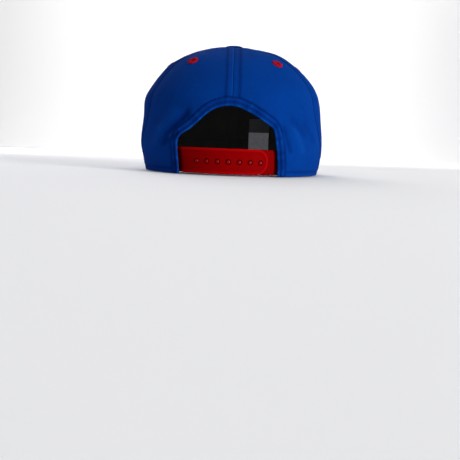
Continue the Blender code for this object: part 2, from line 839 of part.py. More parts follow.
def peak_point(across, ahead):
    """A point of the peak's top, across from -1 to 1 and ahead from the crown, 0, to the edge, 1."""
    inner = band_point(180.0 - across * PEAK_HALF_ANGLE, 0.0, PANEL_THICKNESS)
    turn = math.radians(PEAK_END_TURN * across)
    power = 2 / PEAK_SQUARENESS
    reach = PEAK_REACH - PEAK_WIDEST_AHEAD if math.cos(turn) > 0 else -PEAK_HOOK_LENGTH
    edge_x = math.copysign(PEAK_HALF_WIDTH * abs(math.sin(turn)) ** power, across)
    edge_y = -PEAK_WIDEST_AHEAD - reach * abs(math.cos(turn)) ** power
    x = inner.x + (edge_x - inner.x) * ahead
    y = inner.y + (edge_y - inner.y) * ahead
    return Vector((x, y, peak_underside(x) + PEAK_THICKNESS))


def make_peak(cap):
    rows = []
    for row in range(PEAK_ROWS + 1):
        points = []
        for column in range(PEAK_COLUMNS + 1):
            points.append(peak_point(2 * column / PEAK_COLUMNS - 1, row / PEAK_ROWS))
        rows.append(points)
    peak = cap.add("peak", sheet_mesh("peak", rows, Vector((0, 0, 1))), cap.twill)
    thicken(peak, PEAK_THICKNESS)
    edge = peak.modifiers.new("Rounded edge", "BEVEL")
    edge.width = PEAK_EDGE
    edge.segments = 1
    edge.limit_method = "ANGLE"
    edge.angle_limit = math.radians(60)


def clear_scene():
    for leftover in list(bpy.data.objects):
        bpy.data.objects.remove(leftover, do_unlink=True)


def main():
    clear_scene()
    cap = Cap()
    floor_cutter = make_floor_cutter(cap)
    make_panels(cap, floor_cutter)
    make_eyelets(cap)
    make_button(cap)
    make_binding(cap, floor_cutter)
    make_snap_strap(cap)
    make_stud_strap(cap)
    make_inside(cap)
    make_peak(cap)


if __name__ == "__main__":
    main()
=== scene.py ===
"""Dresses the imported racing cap: twill panels with sewn seams, a bound arch, red eyelets, a plastic
snap strap, a stitched peak and the black layers inside.

The crown is worked out from the same sections, seams and corners of the arch as the solids. The
arch is 1 mm higher than theirs, and the straps reach 0.9 mm higher. Metres, +Z up, and left and
right are the wearer's. Angles are in degrees from the middle of the back to the left. Levels run
from 0 at the crown's rim to 1 at its top.
"""

import functools
import itertools
import math
from collections import namedtuple

import bmesh
import bpy
import numpy as np
from mathutils import Matrix, Vector
from mathutils.kdtree import KDTree


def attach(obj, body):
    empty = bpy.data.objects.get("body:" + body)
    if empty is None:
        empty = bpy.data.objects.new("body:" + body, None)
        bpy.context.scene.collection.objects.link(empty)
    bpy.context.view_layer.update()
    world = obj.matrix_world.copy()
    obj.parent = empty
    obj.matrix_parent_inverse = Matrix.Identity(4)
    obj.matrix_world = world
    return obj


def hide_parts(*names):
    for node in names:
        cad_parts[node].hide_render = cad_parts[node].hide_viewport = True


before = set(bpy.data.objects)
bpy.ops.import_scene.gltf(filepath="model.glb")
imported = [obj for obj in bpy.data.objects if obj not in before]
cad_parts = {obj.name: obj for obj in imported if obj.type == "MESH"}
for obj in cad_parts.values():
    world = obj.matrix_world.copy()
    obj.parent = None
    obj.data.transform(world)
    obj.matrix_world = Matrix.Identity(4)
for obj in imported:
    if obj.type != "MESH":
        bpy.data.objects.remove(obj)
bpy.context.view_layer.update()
SIDES = ((1, "left"), (-1, "right"))

# The crown, whose middle lies at FRAME_Y
FRAME_Y = 0.0352595
FRAME_SHIFT = np.array((0.0, FRAME_Y, 0.0))
CROWN_HEIGHT = 0.115
CROWN_HALF_WIDTH = 0.0853
CROWN_BACK_DEPTH = 0.098
CROWN_FRONT_DEPTH = 0.099
CROWN_TOP_LEVEL = 0.9777
PANEL_THICKNESS = 0.0014
PANEL_BELLY = 0.0008
FOLD_WIDTH = 0.0060
FOLD_DEPTH = 0.0012
FOLD_FADE = 0.12
PIECE_GAP = 0.0003
SEAM_GAP = 0.00005

# Seams, hems and their stitches. STITCH_REACH is in degrees, and holds near the crown's top.
SEAM_GROOVE = 0.00050
SEAM_ROLL = 0.00080
TAPE_SWELL = 0.00040
TAPE_SWELL_START = 0.0015
TAPE_SWELL_END = 0.0016
MIDDLE_STEP = 0.00022
MIDDLE_STEP_WIDTH = 0.0022
MIDDLE_FALL = 0.00034
MIDDLE_FALL_WIDTH = 0.00055
MIDDLE_NICK = 0.00016
MIDDLE_NICK_WIDTH = 0.0005
STITCH_ROW = 0.0056
STITCH_REACH = 24.0
STITCH_DIP = 0.00050
STITCH_DIP_WIDTH = 0.0010
STITCH_LENGTH = 0.0026
STITCH_PITCH = 0.0034
STITCH_LIFT = 0.00012
STITCH_TOP_LEVEL = 0.955
STITCH_ABOVE_ARCH = 0.012
STITCH_START_LEVELS = (0.07, 0.12, 0.12)
TOP_FADE = 0.06
THREAD_RADIUS = 0.00023
RIM_ROW = 0.0040
# The width of the painted highlight along the rim's edge
HEM_HIGHLIGHT_WIDTH = 0.0012
PUCKER = 0.00016
PUCKER_PITCH = 0.0052
PUCKER_WIDTH = 0.0045
HEM_PUCKER_WIDTH = 0.0040
HEM_PUCKER_DEGREES = 3.4

# Painted light in the cloth's colour: painted highlights on ridges and edges, painted shade in folds,
# grooves and stitch rows
FOLD_PAINTED_LIGHT = 0.22
EDGE_PAINTED_LIGHT = 0.30
ROW_PAINTED_SHADE = 0.45

# The back arch. ARCH_RUN is about the length of its edge.
ARCH_WIDTH = 0.081
ARCH_HEIGHT = 0.0562
ARCH_RADIUS = 0.011
ARCH_RUN = 0.17
ARCH_DIP = 0.00055
ARCH_DIP_WIDTH = 0.0010
ARCH_PUCKER_WIDTH = 0.0050
ARCH_LANE = 2.5
BINDING_WIDTH = 0.0071
BINDING_PROUD = 0.0005
BINDING_FOLD = 0.0004
BINDING_DIP = 0.00060
BINDING_DIP_WIDTH = 0.0009
BINDING_PATCHES = 0.30
BINDING_PATCHES_FINER = 1.6
# Painted shade over the whole bound edge
BINDING_PAINTED_SHADE = 0.20
EDGE_ROW = 0.0027
JOIN_ROW_INSET = 0.00035
SEAM_BLOCK = 0.00035
SEAM_BLOCK_EDGE = 0.0006
EDGE_FLARE = 0.0011
EDGE_TUCK = 0.0009

# The snap strap
STRAP_HEIGHT = 0.020
STRAP_THICKNESS = 0.0012
STRAP_ROUNDING = 0.0011
STRAP_RISE = 0.0010
STRAP_LIFT = 0.0009
STRAP_TUCK = 0.014
STRAP_TIP_SETBACK = 0.0114
STRAP_TIP_LENGTH = 0.0092
STRAP_TAIL = 0.009
STRAP_STEP = 0.0075
STRAP_STEP_START = 0.0435
STRAP_DIP = 0.0036
STRAP_DIP_PLACE = 0.0500
STRAP_DIP_WIDTH = 0.0034
UNDER_DIP = 0.0020
UNDER_DIP_PLACE = 0.0440
UNDER_DIP_WIDTH = 0.0038
# How much a painted highlight lightens the strap along its edges
STRAP_EDGE_HIGHLIGHT = 0.55
STRAP_BORDER = 0.00045
STRAP_BORDER_WIDTH = 0.0007
STRAP_BORDER_SLOPE = 0.0024
STUD_COUNT = 7
STUD_PITCH = 0.0092
STUD_FROM_TIP = 0.0064
STUD_RADIUS = 0.0016
STUD_PROUD = 0.0006
STUD_DOME = 0.0009
STUD_HOLE_RADIUS = 0.0023
STUD_HOLE_ROUNDING = 0.00028

# The layers inside. TAPE_REACH is in degrees, and holds near the crown's top.
LINING_THICKNESS = 0.0010
LINING_BOTTOM = 0.0080
LINING_TOP = 0.082
LINING_EDGE = 0.0003
SWEATBAND_THICKNESS = 0.0012
SWEATBAND_BOTTOM = 0.0005
SWEATBAND_TOP = 0.032
SWEATBAND_SETBACK = 0.008
SWEATBAND_EDGE = 0.0005
SWEATBAND_PUFF = 0.0007
SWEATBAND_ROW = 0.004
SWEATBAND_SLACK = 0.0001
SWEATBAND_EASE = 0.0015
SWEATBAND_DIP = 0.0004
SWEATBAND_DIP_WIDTH = 0.0009
SWEATBAND_UNEVEN = 0.00022
SWEATBAND_UNEVEN_DEGREES = 2.6
SWEATBAND_UNEVEN_HEIGHT = 0.05
TAPE_WIDTH = 0.014
TAPE_REACH = 21.6
TAPE_THICKNESS = 0.0006
TAPE_EDGE = 0.0002
TAPE_CLEARANCE = 0.00025
TAPE_STACKING = 0.00012
TAPE_TOP_LEVEL = 0.962
TAPE_ABOVE_ARCH = 0.01
TAPE_START_LEVELS = (0.03, 0.08, 0.08)
TAPE_SAG = 0.0002
TAPE_SAG_SHARE = 0.35
LABEL_WIDTH = 0.023
LABEL_BOTTOM = 0.020
LABEL_TOP = 0.056
LABEL_THICKNESS = 0.0008
LABEL_EDGE = 0.00015
LABEL_OFF_MIDDLE = 0.032
LABEL_SLACK = 0.0003
LABEL_STAND = 0.0006
LABEL_STEP_BELOW = 0.002
LABEL_GREY_SHARE = 0.59

# The peak. Its half angle, the turn of its ends and the rim's ramp beside it are in degrees.
PEAK_LENGTH = 0.070
PEAK_HALF_WIDTH = 0.0905
PEAK_THICKNESS = 0.0032
PEAK_RISE = 0.0030
PEAK_HALF_ANGLE = 66.0
PEAK_WIDEST_AHEAD = 0.072
PEAK_HOOK_LENGTH = 0.046
PEAK_END_TURN = 122.0
PEAK_SQUARENESS = 2.35
PEAK_EDGE_ROUND = 0.0013
PEAK_SLACK = 0.0003
PEAK_FIRST_ROW = 0.0042
PEAK_ROWS = 7
PEAK_ROW_PITCH = 0.0066
PEAK_ROW_SINK = 0.0006
PEAK_ROW_SLACK = 0.0002
PEAK_GROOVE = 0.00030
PEAK_GROOVE_WIDTH = 0.0009
PEAK_BARE = 0.0018
RIM_RAMP_START = 0.3
RIM_RAMP_ANGLE = 1.5

# The button and the eyelets
BUTTON_RADIUS = 0.0077
BUTTON_HEIGHT = 0.0022
BUTTON_EDGE = 0.0012
BUTTON_UNDER = 0.0003
BUTTON_SHANK_RADIUS = 0.0022
BUTTON_GATHER = 0.00012
BUTTON_WAVER = 0.012
EYELET_RADIUS = 0.0047
EYELET_HOLE_RADIUS = 0.0014
EYELET_BARREL_RADIUS = 0.0026
EYELET_RELIEF = 0.0012
EYELET_SKIRT = 0.0005
EYELET_THREADS = 36
EYELET_RIB = 0.00022
EYELET_UNEVEN = 0.00010
EYELET_WAVER = 0.00012
EYELET_PAST_CLOTH = 0.0002
EYELET_BORE = 0.012

# The floor and its curve up into the backdrop
FLOOR_HALF_WIDTH = 5.0
FLOOR_NEAR = 4.0
FLOOR_FAR = -2.2
FLOOR_CURVE = 1.2
FLOOR_DROP = 0.0004
BACKDROP_TOP = 5.0
PAPER_COLOUR = (0.93, 0.93, 0.93, 1.0)

# The camera behind the cap: its place from the middle of the crown, its turns in degrees and its
# focal length in millimetres
CAMERA_SIDE = -0.0023
CAMERA_DISTANCE = 0.570
CAMERA_HEIGHT = 0.020
CAMERA_PITCH = 7.69
CAMERA_ROLL = 2.1
CAMERA_LENS = 45.88
CAMERA_SENSOR = 36.0
CAMERA_RANGE = (0.01, 50.0)

# The crown's height and half widths as shares of its sizes, and how far it leans to the left at its
# sides and at the middle seam. The last row only steers the curve over the top.
Section = namedtuple("Section", "level height side back front lean middle")
CROWN_SECTIONS = (
    Section(0.0, 0.000, 0.946, 1.000, 0.985, -0.014, -0.0140),
    Section(0.1, 0.091, 0.974, 1.002, 0.996, -0.014, -0.0140),
    Section(0.2, 0.233, 1.000, 0.996, 1.000, -0.007, -0.0070),
    Section(0.3, 0.415, 0.976, 0.950, 0.985, -0.007, -0.0070),
    Section(0.4, 0.567, 0.956, 0.868, 0.955, 0.000, -0.0038),
    Section(0.5, 0.664, 0.899, 0.785, 0.915, -0.013, -0.0036),
    Section(0.6, 0.760, 0.810, 0.670, 0.850, -0.013, -0.0035),
    Section(0.7, 0.856, 0.680, 0.520, 0.730, -0.004, -0.0033),
    Section(0.8, 0.946, 0.470, 0.310, 0.480, -0.026, -0.0028),
    Section(0.9, 0.992, 0.200, 0.142, 0.225, -0.006, -0.0015),
    Section(1.0, 1.000, 0.000, 0.000, 0.000, 0.000, 0.0000),
    Section(1.1, 0.992, -0.200, -0.142, -0.225, 0.006, 0.0015),
)

# The angles of the side seams at shares of the crown's height
SeamRow = namedtuple("SeamRow", "height back_side side_front")
SEAM_LINES = (
    SeamRow(0.00, 80.0, 128.0),
    SeamRow(0.20, 76.0, 126.0),
    SeamRow(0.35, 69.5, 123.0),
    SeamRow(0.50, 65.0, 121.0),
    SeamRow(0.65, 64.5, 120.5),
    SeamRow(1.00, 60.0, 120.0),
)

# Corners of the arch: across as shares of half its width, heights as shares of ARCH_HEIGHT and radii
# as shares of ARCH_RADIUS
ArchCorner = namedtuple("ArchCorner", "across height radius")
ARCH_LEFT = (
    ArchCorner(1.105, 0.000, 0.0),
    ArchCorner(1.057, 0.541, 0.8),
    ArchCorner(0.800, 0.655, 2.0),
    ArchCorner(0.305, 1.000, 2.6),
)
ARCH_RIGHT = (
    ArchCorner(1.000, 0.000, 0.0),
    ArchCorner(0.830, 0.690, 0.8),
    ArchCorner(0.360, 0.908, 4.0),
    ArchCorner(0.096, 1.000, 2.2),
)

# Folds of the cloth: ends as angles and shares of the crown's height, widths and depths as shares
# of FOLD_WIDTH and FOLD_DEPTH. A negative depth is a valley.
Fold = namedtuple("Fold", "start_angle start_height end_angle end_height width depth")
FOLDS = (
    Fold(27.0, 0.428, 33.6, 0.349, 0.60, -2.10),
    Fold(36.5, 0.320, 41.0, 0.224, 0.60, -1.80),
    Fold(36.0, 0.432, 44.5, 0.330, 0.80, 0.60),
    Fold(46.0, 0.310, 48.4, 0.222, 0.80, 0.50),
    Fold(30.2, 0.308, 37.9, 0.268, 0.24, 1.30),
    Fold(31.9, 0.288, 37.2, 0.234, 0.34, -1.10),
    Fold(50.0, 0.380, 60.0, 0.260, 1.40, -0.40),
    Fold(-29.8, 0.344, -34.8, 0.192, 0.42, -1.50),
    Fold(-37.7, 0.350, -44.4, 0.196, 0.60, 0.55),
    Fold(-36.0, 0.410, -46.7, 0.313, 0.50, -1.00),
    Fold(-47.0, 0.385, -56.9, 0.274, 0.55, -1.00),
    Fold(-38.0, 0.980, -58.0, 0.958, 0.60, -1.10),
)

# The eyelets of one side. The shift is in degrees, counted to the left on both sides.
Eyelet = namedtuple("Eyelet", "place angle level shift")
EYELETS = (
    Eyelet("back", 36.3, 0.673, -1.4),
    Eyelet("side", 92.0, 0.690, 0.0),
    Eyelet("front", 146.0, 0.690, 0.0),
)

# Painted light on the bound edge: shares (above nothing a painted highlight, below it painted shade),
# offsets from the edge and widths
PaintedMark = namedtuple("PaintedMark", "share offset width")
BINDING_PAINTED_LIGHT = (
    PaintedMark(0.34, 0.0004, 0.0005),
    PaintedMark(0.10, 0.0048, 0.0008),
    PaintedMark(-0.40, EDGE_ROW, 0.0009),
    PaintedMark(-0.50, BINDING_WIDTH, 0.0010),
)

# A slight unevenness of the cloth
Wave = namedtuple("Wave", "depth size seed")
CLOTH_WAVES = (Wave(0.00030, 0.034, 3), Wave(0.00014, 0.013, 4))
PEAK_WAVES = (Wave(0.00010, 0.010, 51), Wave(0.00018, 0.034, 52))

# The lamps: where they stand and what they point at, their sizes in metres, watts and colours
Lamp = namedtuple("Lamp", "name location target size power colour")
LAMPS = (
    Lamp("window", (-1.42, 1.30, 0.30), (0.0, 0.05, 0.05), 0.6, 41.0, (0.98, 1.0, 0.98)),
    Lamp("fill", (1.4, 1.6, 0.7), (0.0, 0.05, 0.05), 1.2, 1.0, (1.0, 1.0, 1.0)),
    Lamp("far_side", (1.6, -0.5, 0.5), (0.0, 0.0, 0.06), 0.7, 3.5, (0.35, 0.50, 1.0)),
    Lamp("front_fill", (0.6, -1.5, 1.0), (0.0, 0.0, 0.05), 1.2, 10.0, (1.0, 1.0, 1.0)),
    Lamp("ceiling", (0.0, -0.2, 1.8), (0.0, 0.0, 0.0), 2.0, 12.0, (1.0, 1.0, 1.0)),
    Lamp("backdrop", (0.0, -1.2, 1.6), (0.0, -3.2, 0.6), 1.6, 46.0, (1.0, 1.0, 1.0)),
    Lamp("hollow", (0.0, 0.084, 0.074), (0.0, -0.06, 0.030), 0.024, 0.03, (1.0, 1.0, 1.0)),
)
ROOM_COLOUR = (0.97, 0.94, 1.0, 1.0)
ROOM_LIGHT = 0.21

BINDING_HALF = (PANEL_THICKNESS + BINDING_FOLD) / 2
STRAP_INSET = PANEL_THICKNESS + BINDING_FOLD + PIECE_GAP
UNDER_STRAP_INSET = STRAP_INSET + STRAP_THICKNESS + PIECE_GAP
LINING_INSET = PANEL_THICKNESS + PIECE_GAP
SWEATBAND_INSET = STRAP_INSET + STRAP_THICKNESS + PIECE_GAP
STRAP_MIDDLE = STRAP_RISE + STRAP_HEIGHT / 2
PEAK_REACH = CROWN_FRONT_DEPTH * CROWN_SECTIONS[0].front + PEAK_LENGTH

# Primes that scatter the noise, and the mask of its 32 bits
AXIS_PRIMES = (73856093, 19349663, 83492791)
SEED_PRIME = 374761393
FIRST_PRIME, SECOND_PRIME = 2246822519, 3266489917
WORD = 0xFFFFFFFF


def follow(table, column, at):
    """Read a column of a table smoothly at positions along its first column."""
    keys = np.array([row[0] for row in table])
    values = np.array([getattr(row, column) for row in table])
    slopes = np.empty(len(keys))
    slopes[1:-1] = (values[2:] - values[:-2]) / (keys[2:] - keys[:-2])
    slopes[0] = (values[1] - values[0]) / (keys[1] - keys[0])
    slopes[-1] = (values[-1] - values[-2]) / (keys[-1] - keys[-2])
    at = np.asarray(at, dtype=float)
    index = np.clip(np.searchsorted(keys, at, side="right") - 1, 0, len(keys) - 2)
    span = keys[index + 1] - keys[index]
    share = (at - keys[index]) / span
    square, cube = share**2, share**3
    return (
        values[index] * (2 * cube - 3 * square + 1)
        + slopes[index] * span * (cube - 2 * square + share)
        + values[index + 1] * (3 * square - 2 * cube)
        + slopes[index + 1] * span * (cube - square)
    )


def together(*columns):
    """Values of one shape, or made so, side by side as the last axis."""
    return np.stack(np.broadcast_arrays(*columns), axis=-1)


def smoothstep(share):
    share = np.clip(share, 0.0, 1.0)
    return share * share * (3 - 2 * share)


def bump(distance, width):
    """One at a distance of zero, fading to nothing over a width."""
    return np.exp(-((distance / width) ** 2))


def soft_noise(points, size, seed):
    """Smooth noise from -1 to 1 with blobs of a size, the same on every run."""
    spots = np.asarray(points) / size
    cell = np.floor(spots).astype(np.int64)
    share = spots - cell
    share = share * share * (3 - 2 * share)
    total = 0.0
    with np.errstate(over="ignore"):
        for corner in itertools.product((0, 1), repeat=spots.shape[-1]):
            key = np.full(cell.shape[:-1], seed * SEED_PRIME, dtype=np.int64)
            weight = 1.0
            for axis, (step, prime) in enumerate(zip(corner, AXIS_PRIMES)):
                key = key ^ ((cell[..., axis] + step) * prime)
                weight = weight * (share[..., axis] if step else 1 - share[..., axis])
            key = (key * FIRST_PRIME) & WORD
            key = ((key ^ (key >> 13)) * SECOND_PRIME) & WORD
            key = key ^ (key >> 16)
            total = total + weight * (key / 2**31 - 1)
    return total


def lane_noise(along, lane, seed):
    """Smooth noise along a line, with blobs of length one. Each lane has its own."""
    return soft_noise(together(along, lane), 1.0, seed)


def waves(points, table):
    return sum(wave.depth * soft_noise(points, wave.size, wave.seed) for wave in table)


def unit(vectors):
    return vectors / np.maximum(np.linalg.norm(vectors, axis=-1, keepdims=True), 1e-12)


def lengths_along(line):
    """The distance from a line's start to each of its points."""
    return np.concatenate(([0.0], np.cumsum(np.linalg.norm(np.diff(line, axis=0), axis=-1))))


def read_along(goals, lengths, values):
    """Values at distances along a line."""
    return np.stack([np.interp(goals, lengths, column) for column in values.T], axis=-1)


def distance_to(line, points):
    """How far each point is from the nearest point of a line."""
    return np.linalg.norm(points[:, None] - line[None], axis=-1).min(axis=1)


def height_at(level):
    return follow(CROWN_SECTIONS, "height", level) * CROWN_HEIGHT


def level_at(height):
    """The crown's level at heights in metres."""
    levels = np.linspace(-0.1, 1.0, 4401)
    return np.interp(height, height_at(levels), levels)


def crown_surface(angle, level):
    """Points of the crown's smooth outer face."""
    turn = np.radians(angle)
    half_width = CROWN_HALF_WIDTH * follow(CROWN_SECTIONS, "side", level)
    side_share = np.sin(turn) ** 2
    lean = follow(CROWN_SECTIONS, "lean", level) * side_share
    lean = CROWN_HALF_WIDTH * (lean + follow(CROWN_SECTIONS, "middle", level) * (1 - side_share))
    back = CROWN_BACK_DEPTH * follow(CROWN_SECTIONS, "back", level)
    front = CROWN_FRONT_DEPTH * follow(CROWN_SECTIONS, "front", level)
    depth = np.where(np.cos(turn) > 0, back, front)
    return together(lean + half_width * np.sin(turn), depth * np.cos(turn), height_at(level))


def crown_normal(angle, level):
    across = crown_surface(angle + 0.2, level) - crown_surface(angle - 0.2, level)
    up = crown_surface(angle, level + 0.002) - crown_surface(angle, level - 0.002)
    return unit(np.cross(up, across))


def over_crown(angle, level, lift):
    """Points above the crown's smooth face, or below it where the lift is negative."""
    return crown_surface(angle, level) + crown_normal(angle, level) * np.asarray(lift)[..., None]


def band_point(angle, height, inset):
    """Points at heights in metres, inside the crown's smooth face."""
    return over_crown(angle, level_at(height), -np.asarray(inset, dtype=float))


def standing(angle, level):
    """The turn that stands an upright piece on the crown."""
    return Vector(crown_normal(angle, level)).to_track_quat("Z", "Y").to_matrix()


def metres_per_degree(angle, level):
    stride = crown_surface(angle + 0.5, level) - crown_surface(angle - 0.5, level)
    return np.linalg.norm(stride, axis=-1)


def meridian(level):
    """The length along the crown's side from the rim to a level."""
    levels = np.linspace(-0.05, 1.0, 600)
    return np.interp(level, levels, lengths_along(crown_surface(40.0, levels)))


def seam_angles(level):
    """The angles of the four seams on one side, from the middle of the back to the front's."""
    height = follow(CROWN_SECTIONS, "height", level)
    back_side = follow(SEAM_LINES, "back_side", height)
    side_front = follow(SEAM_LINES, "side_front", height)
    return np.stack((np.zeros_like(back_side), back_side, side_front, np.full_like(back_side, 180.0)))


def seam_scale(angle, level):
    """Metres square to each of the four seams for a degree, which their lean makes fewer."""
    slope = (seam_angles(level + 0.01) - seam_angles(level - 0.01)) / 0.02
    per_level = np.maximum((meridian(level + 0.01) - meridian(level - 0.01)) / 0.02, 1e-4)
    scale = metres_per_degree(angle, level)
    return scale / np.sqrt(1 + (slope * scale / per_level) ** 2)


def seam_distance(angle, level):
    """The distance to the nearest seam, and which seam it is."""
    away = np.abs(np.abs(angle) - seam_angles(level)) * seam_scale(angle, level)
    return away.min(axis=0), away.argmin(axis=0)


def stitch_offset(angle, level):
    """How far the stitch rows stand from a seam: closer together towards the crown's top."""
    return np.minimum(STITCH_ROW, STITCH_REACH * metres_per_degree(angle, level))


def fold_relief(angle, level):
    spot = together(np.radians(angle) * CROWN_HALF_WIDTH, height_at(level))
    total = 0.0
    for fold in FOLDS:
        start, end = (
            np.array((math.radians(turn) * CROWN_HALF_WIDTH, height * CROWN_HEIGHT))
            for turn, height in (fold[:2], fold[2:4])
        )
        along = end - start
        share = np.clip(((spot - start) @ along) / (along @ along), 0.0, 1.0)
        away = np.linalg.norm(spot - start - share[..., None] * along, axis=-1)
        total = total + fold.depth * FOLD_DEPTH * bump(away, fold.width * FOLD_WIDTH)
    return total * smoothstep((1 - level) / FOLD_FADE)


def soft_relief(angle, level):
    """What both faces of the cloth share: the panels' bellies, the folds and a slight unevenness."""
    angle, level = np.broadcast_arrays(np.asarray(angle, dtype=float), np.asarray(level, dtype=float))
    seams = seam_angles(level)
    swell = np.zeros_like(angle)
    for start, end in zip(seams, seams[1:]):
        share = (np.abs(angle) - start) / (end - start)
        swell = np.where((share >= 0) & (share <= 1), np.sin(np.pi * np.clip(share, 0, 1)), swell)
    ramp_and_painted_light = smoothstep(level / 0.25) * smoothstep((1 - level) / 0.2)
    uneven = waves(crown_surface(angle, level), CLOTH_WAVES) * smoothstep(level / 0.1)
    return PANEL_BELLY * swell * ramp_and_painted_light + fold_relief(angle, level) + uneven


def peak_underside(across):
    return PEAK_RISE * np.maximum(1 - (across / PEAK_HALF_WIDTH) ** 2, 0.0)


def rim_height(angle):
    """Where the crown's lower edge runs: on the floor, and over the peak at the front."""
    from_front = 180.0 - np.abs(angle)
    over_peak = peak_underside(crown_surface(angle, 0.0)[..., 0]) + PEAK_THICKNESS + PIECE_GAP
    drop = smoothstep((from_front - PEAK_HALF_ANGLE - RIM_RAMP_START) / RIM_RAMP_ANGLE)
    return over_peak * (1 - drop)


def middle_relief(angle, away, row):
    """The middle seam's allowances lie to one side: a step up on the left and down on the right."""
    step = MIDDLE_STEP * smoothstep((row + MIDDLE_STEP_WIDTH / 2 - away) / MIDDLE_STEP_WIDTH)
    left = step - MIDDLE_FALL * bump(away, MIDDLE_FALL_WIDTH)
    right = -step - MIDDLE_NICK * bump(away, MIDDLE_NICK_WIDTH)
    return np.where(angle > 0, left, right)


def sewn_relief(angle, level):
    """What only the outer face has: rolled seams, the tape's swell, stitch rows and puckers."""
    away, seam = seam_distance(angle, level)
    row = stitch_offset(angle, level)
    pucker = lane_noise(meridian(level) / PUCKER_PITCH, seam * 7.3 + np.sign(angle) * 3.1, seed=8)
    groove = np.where(seam == 0, 0.0, -SEAM_GROOVE * bump(away, SEAM_ROLL))
    swell = TAPE_SWELL * smoothstep(away / TAPE_SWELL_START) * smoothstep((row - away) / TAPE_SWELL_END)
    swell = np.where(seam == 0, middle_relief(angle, away, row), swell)
    dip = -STITCH_DIP * bump(away - row, STITCH_DIP_WIDTH) * (1 + 0.35 * pucker)
    dip = np.where(seam == 0, 0.4 * dip, dip)
    ripple = PUCKER * pucker * bump(away - row, PUCKER_WIDTH)
    past_row = height_at(level) - rim_height(angle) - RIM_ROW
    hem = -0.6 * STITCH_DIP * bump(past_row, STITCH_DIP_WIDTH)
    hem_pucker = lane_noise(angle / HEM_PUCKER_DEGREES, 5.0, seed=9)
    hem = hem + 0.7 * PUCKER * hem_pucker * bump(past_row, HEM_PUCKER_WIDTH)
    return groove + (swell + dip + ripple) * smoothstep((1 - level) / TOP_FADE) + hem


def crown_outer(angle, level, extra=0.0):
    """The cloth's sewn outer face."""
    return over_crown(angle, level, soft_relief(angle, level) + sewn_relief(angle, level) + extra)


def painted_cloth_light(angle, level):
    """Painted light: above nothing for highlights on ridges and edges, below it for shade in folds, grooves
    and rows.
    """
    away, seam = seam_distance(angle, level)
    row = stitch_offset(angle, level)
    # Painted shade in the seams' grooves, and a painted highlight on the middle seam's raised left side
    edge = -EDGE_PAINTED_LIGHT * bump(away, SEAM_ROLL)
    painted_seam_highlight = 0.5 * EDGE_PAINTED_LIGHT * bump(away - 0.6 * MIDDLE_FALL_WIDTH, 0.8 * MIDDLE_FALL_WIDTH)
    edge = np.where((seam == 0) & (angle > 0), painted_seam_highlight, edge)
    # Painted shade in the stitch rows
    rows = -ROW_PAINTED_SHADE * bump(away - row, 1.5 * STITCH_DIP_WIDTH) * smoothstep((1 - level) / TOP_FADE)
    # A painted highlight along the rim's edge, and painted shade in the rim's stitch row
    above_rim = height_at(level) - rim_height(angle)
    hem = 0.5 * EDGE_PAINTED_LIGHT * bump(above_rim, HEM_HIGHLIGHT_WIDTH)
    hem = hem - ROW_PAINTED_SHADE * bump(above_rim - RIM_ROW, STITCH_DIP_WIDTH)
    # A painted highlight on the folds' ridges, and painted shade in their valleys
    folds = FOLD_PAINTED_LIGHT * fold_relief(angle, level) / FOLD_DEPTH
    return np.clip(folds + edge + rows + hem, -0.8, 0.5)


def angle_at_arc(arc):
    """The angle at a distance round the crown from the middle of the back, at the strap's middle."""
    angles = np.arange(0.0, 110.0, 0.25)
    level = level_at(STRAP_MIDDLE)
    arc = np.asarray(arc, dtype=float)
    left, right = (
        np.interp(np.abs(arc), lengths_along(crown_surface(side * angles, level)), angles)
        for side, _ in SIDES
    )
    return np.where(arc >= 0, left, -right)


def half_opening_arc():
    """Half of the arch's width, measured along the crown."""
    level = level_at(STRAP_MIDDLE)
    half_width = CROWN_HALF_WIDTH * float(follow(CROWN_SECTIONS, "side", level))
    goal = math.degrees(math.asin(ARCH_WIDTH / 2 / half_width))
    return float(lengths_along(crown_surface(np.linspace(0.0, goal, 41), level))[-1])


def rounded_path(corners, radii, arc_points=10):
    """A path through corners, with an arc of the given radius at each inner corner."""
    path = [corners[0]]
    for before, corner, after, radius in zip(corners, corners[1:], corners[2:], radii):
        back = (before - corner).normalized()
        ahead = (after - corner).normalized()
        half_angle = back.angle(ahead) / 2
        cut = radius / math.tan(half_angle)
        centre = corner + (back + ahead).normalized() * radius / math.sin(half_angle)
        start = corner + back * cut - centre
        sweep = -start.angle_signed(corner + ahead * cut - centre)
        for step in range(arc_points + 1):
            turn = math.atan2(start.y, start.x) + sweep * step / arc_points
            path.append(centre + Vector((math.cos(turn), math.sin(turn))) * radius)
    path.append(corners[-1])
    return path


def arch_edge(side, count):
    """Half of the arch's edge from the rim to its middle, and the directions out into the cloth.

    The points hold the distance round the crown and the height."""
    table = ARCH_LEFT if side > 0 else ARCH_RIGHT
    half = math.copysign(half_opening_arc(), side)
    corners = [Vector((half * corner.across, ARCH_HEIGHT * corner.height)) for corner in table]
    corners.append(Vector((-corners[-1].x, ARCH_HEIGHT)))
    whole = rounded_path(corners, [ARCH_RADIUS * corner.radius for corner in table[1:]])
    edge = [tuple(point) for point in whole if point.x * side > 0]
    edge = np.array(edge + [(0.0, ARCH_HEIGHT)])
    lengths = lengths_along(edge)
    edge = read_along(np.linspace(0.0, lengths[-1], count + 1), lengths, edge)
    smooth = np.gradient(edge, axis=0)
    for _ in range(3):
        smooth[1:-1] = (smooth[:-2] + smooth[1:-1] * 2 + smooth[2:]) / 4
    smooth = unit(smooth)
    outwards = together(smooth[:, 1], -smooth[:, 0]) * side
    outwards[0] = (outwards[0][0], 0.0)
    outwards[-1] = (0.0, 1.0)
    return edge, unit(outwards)


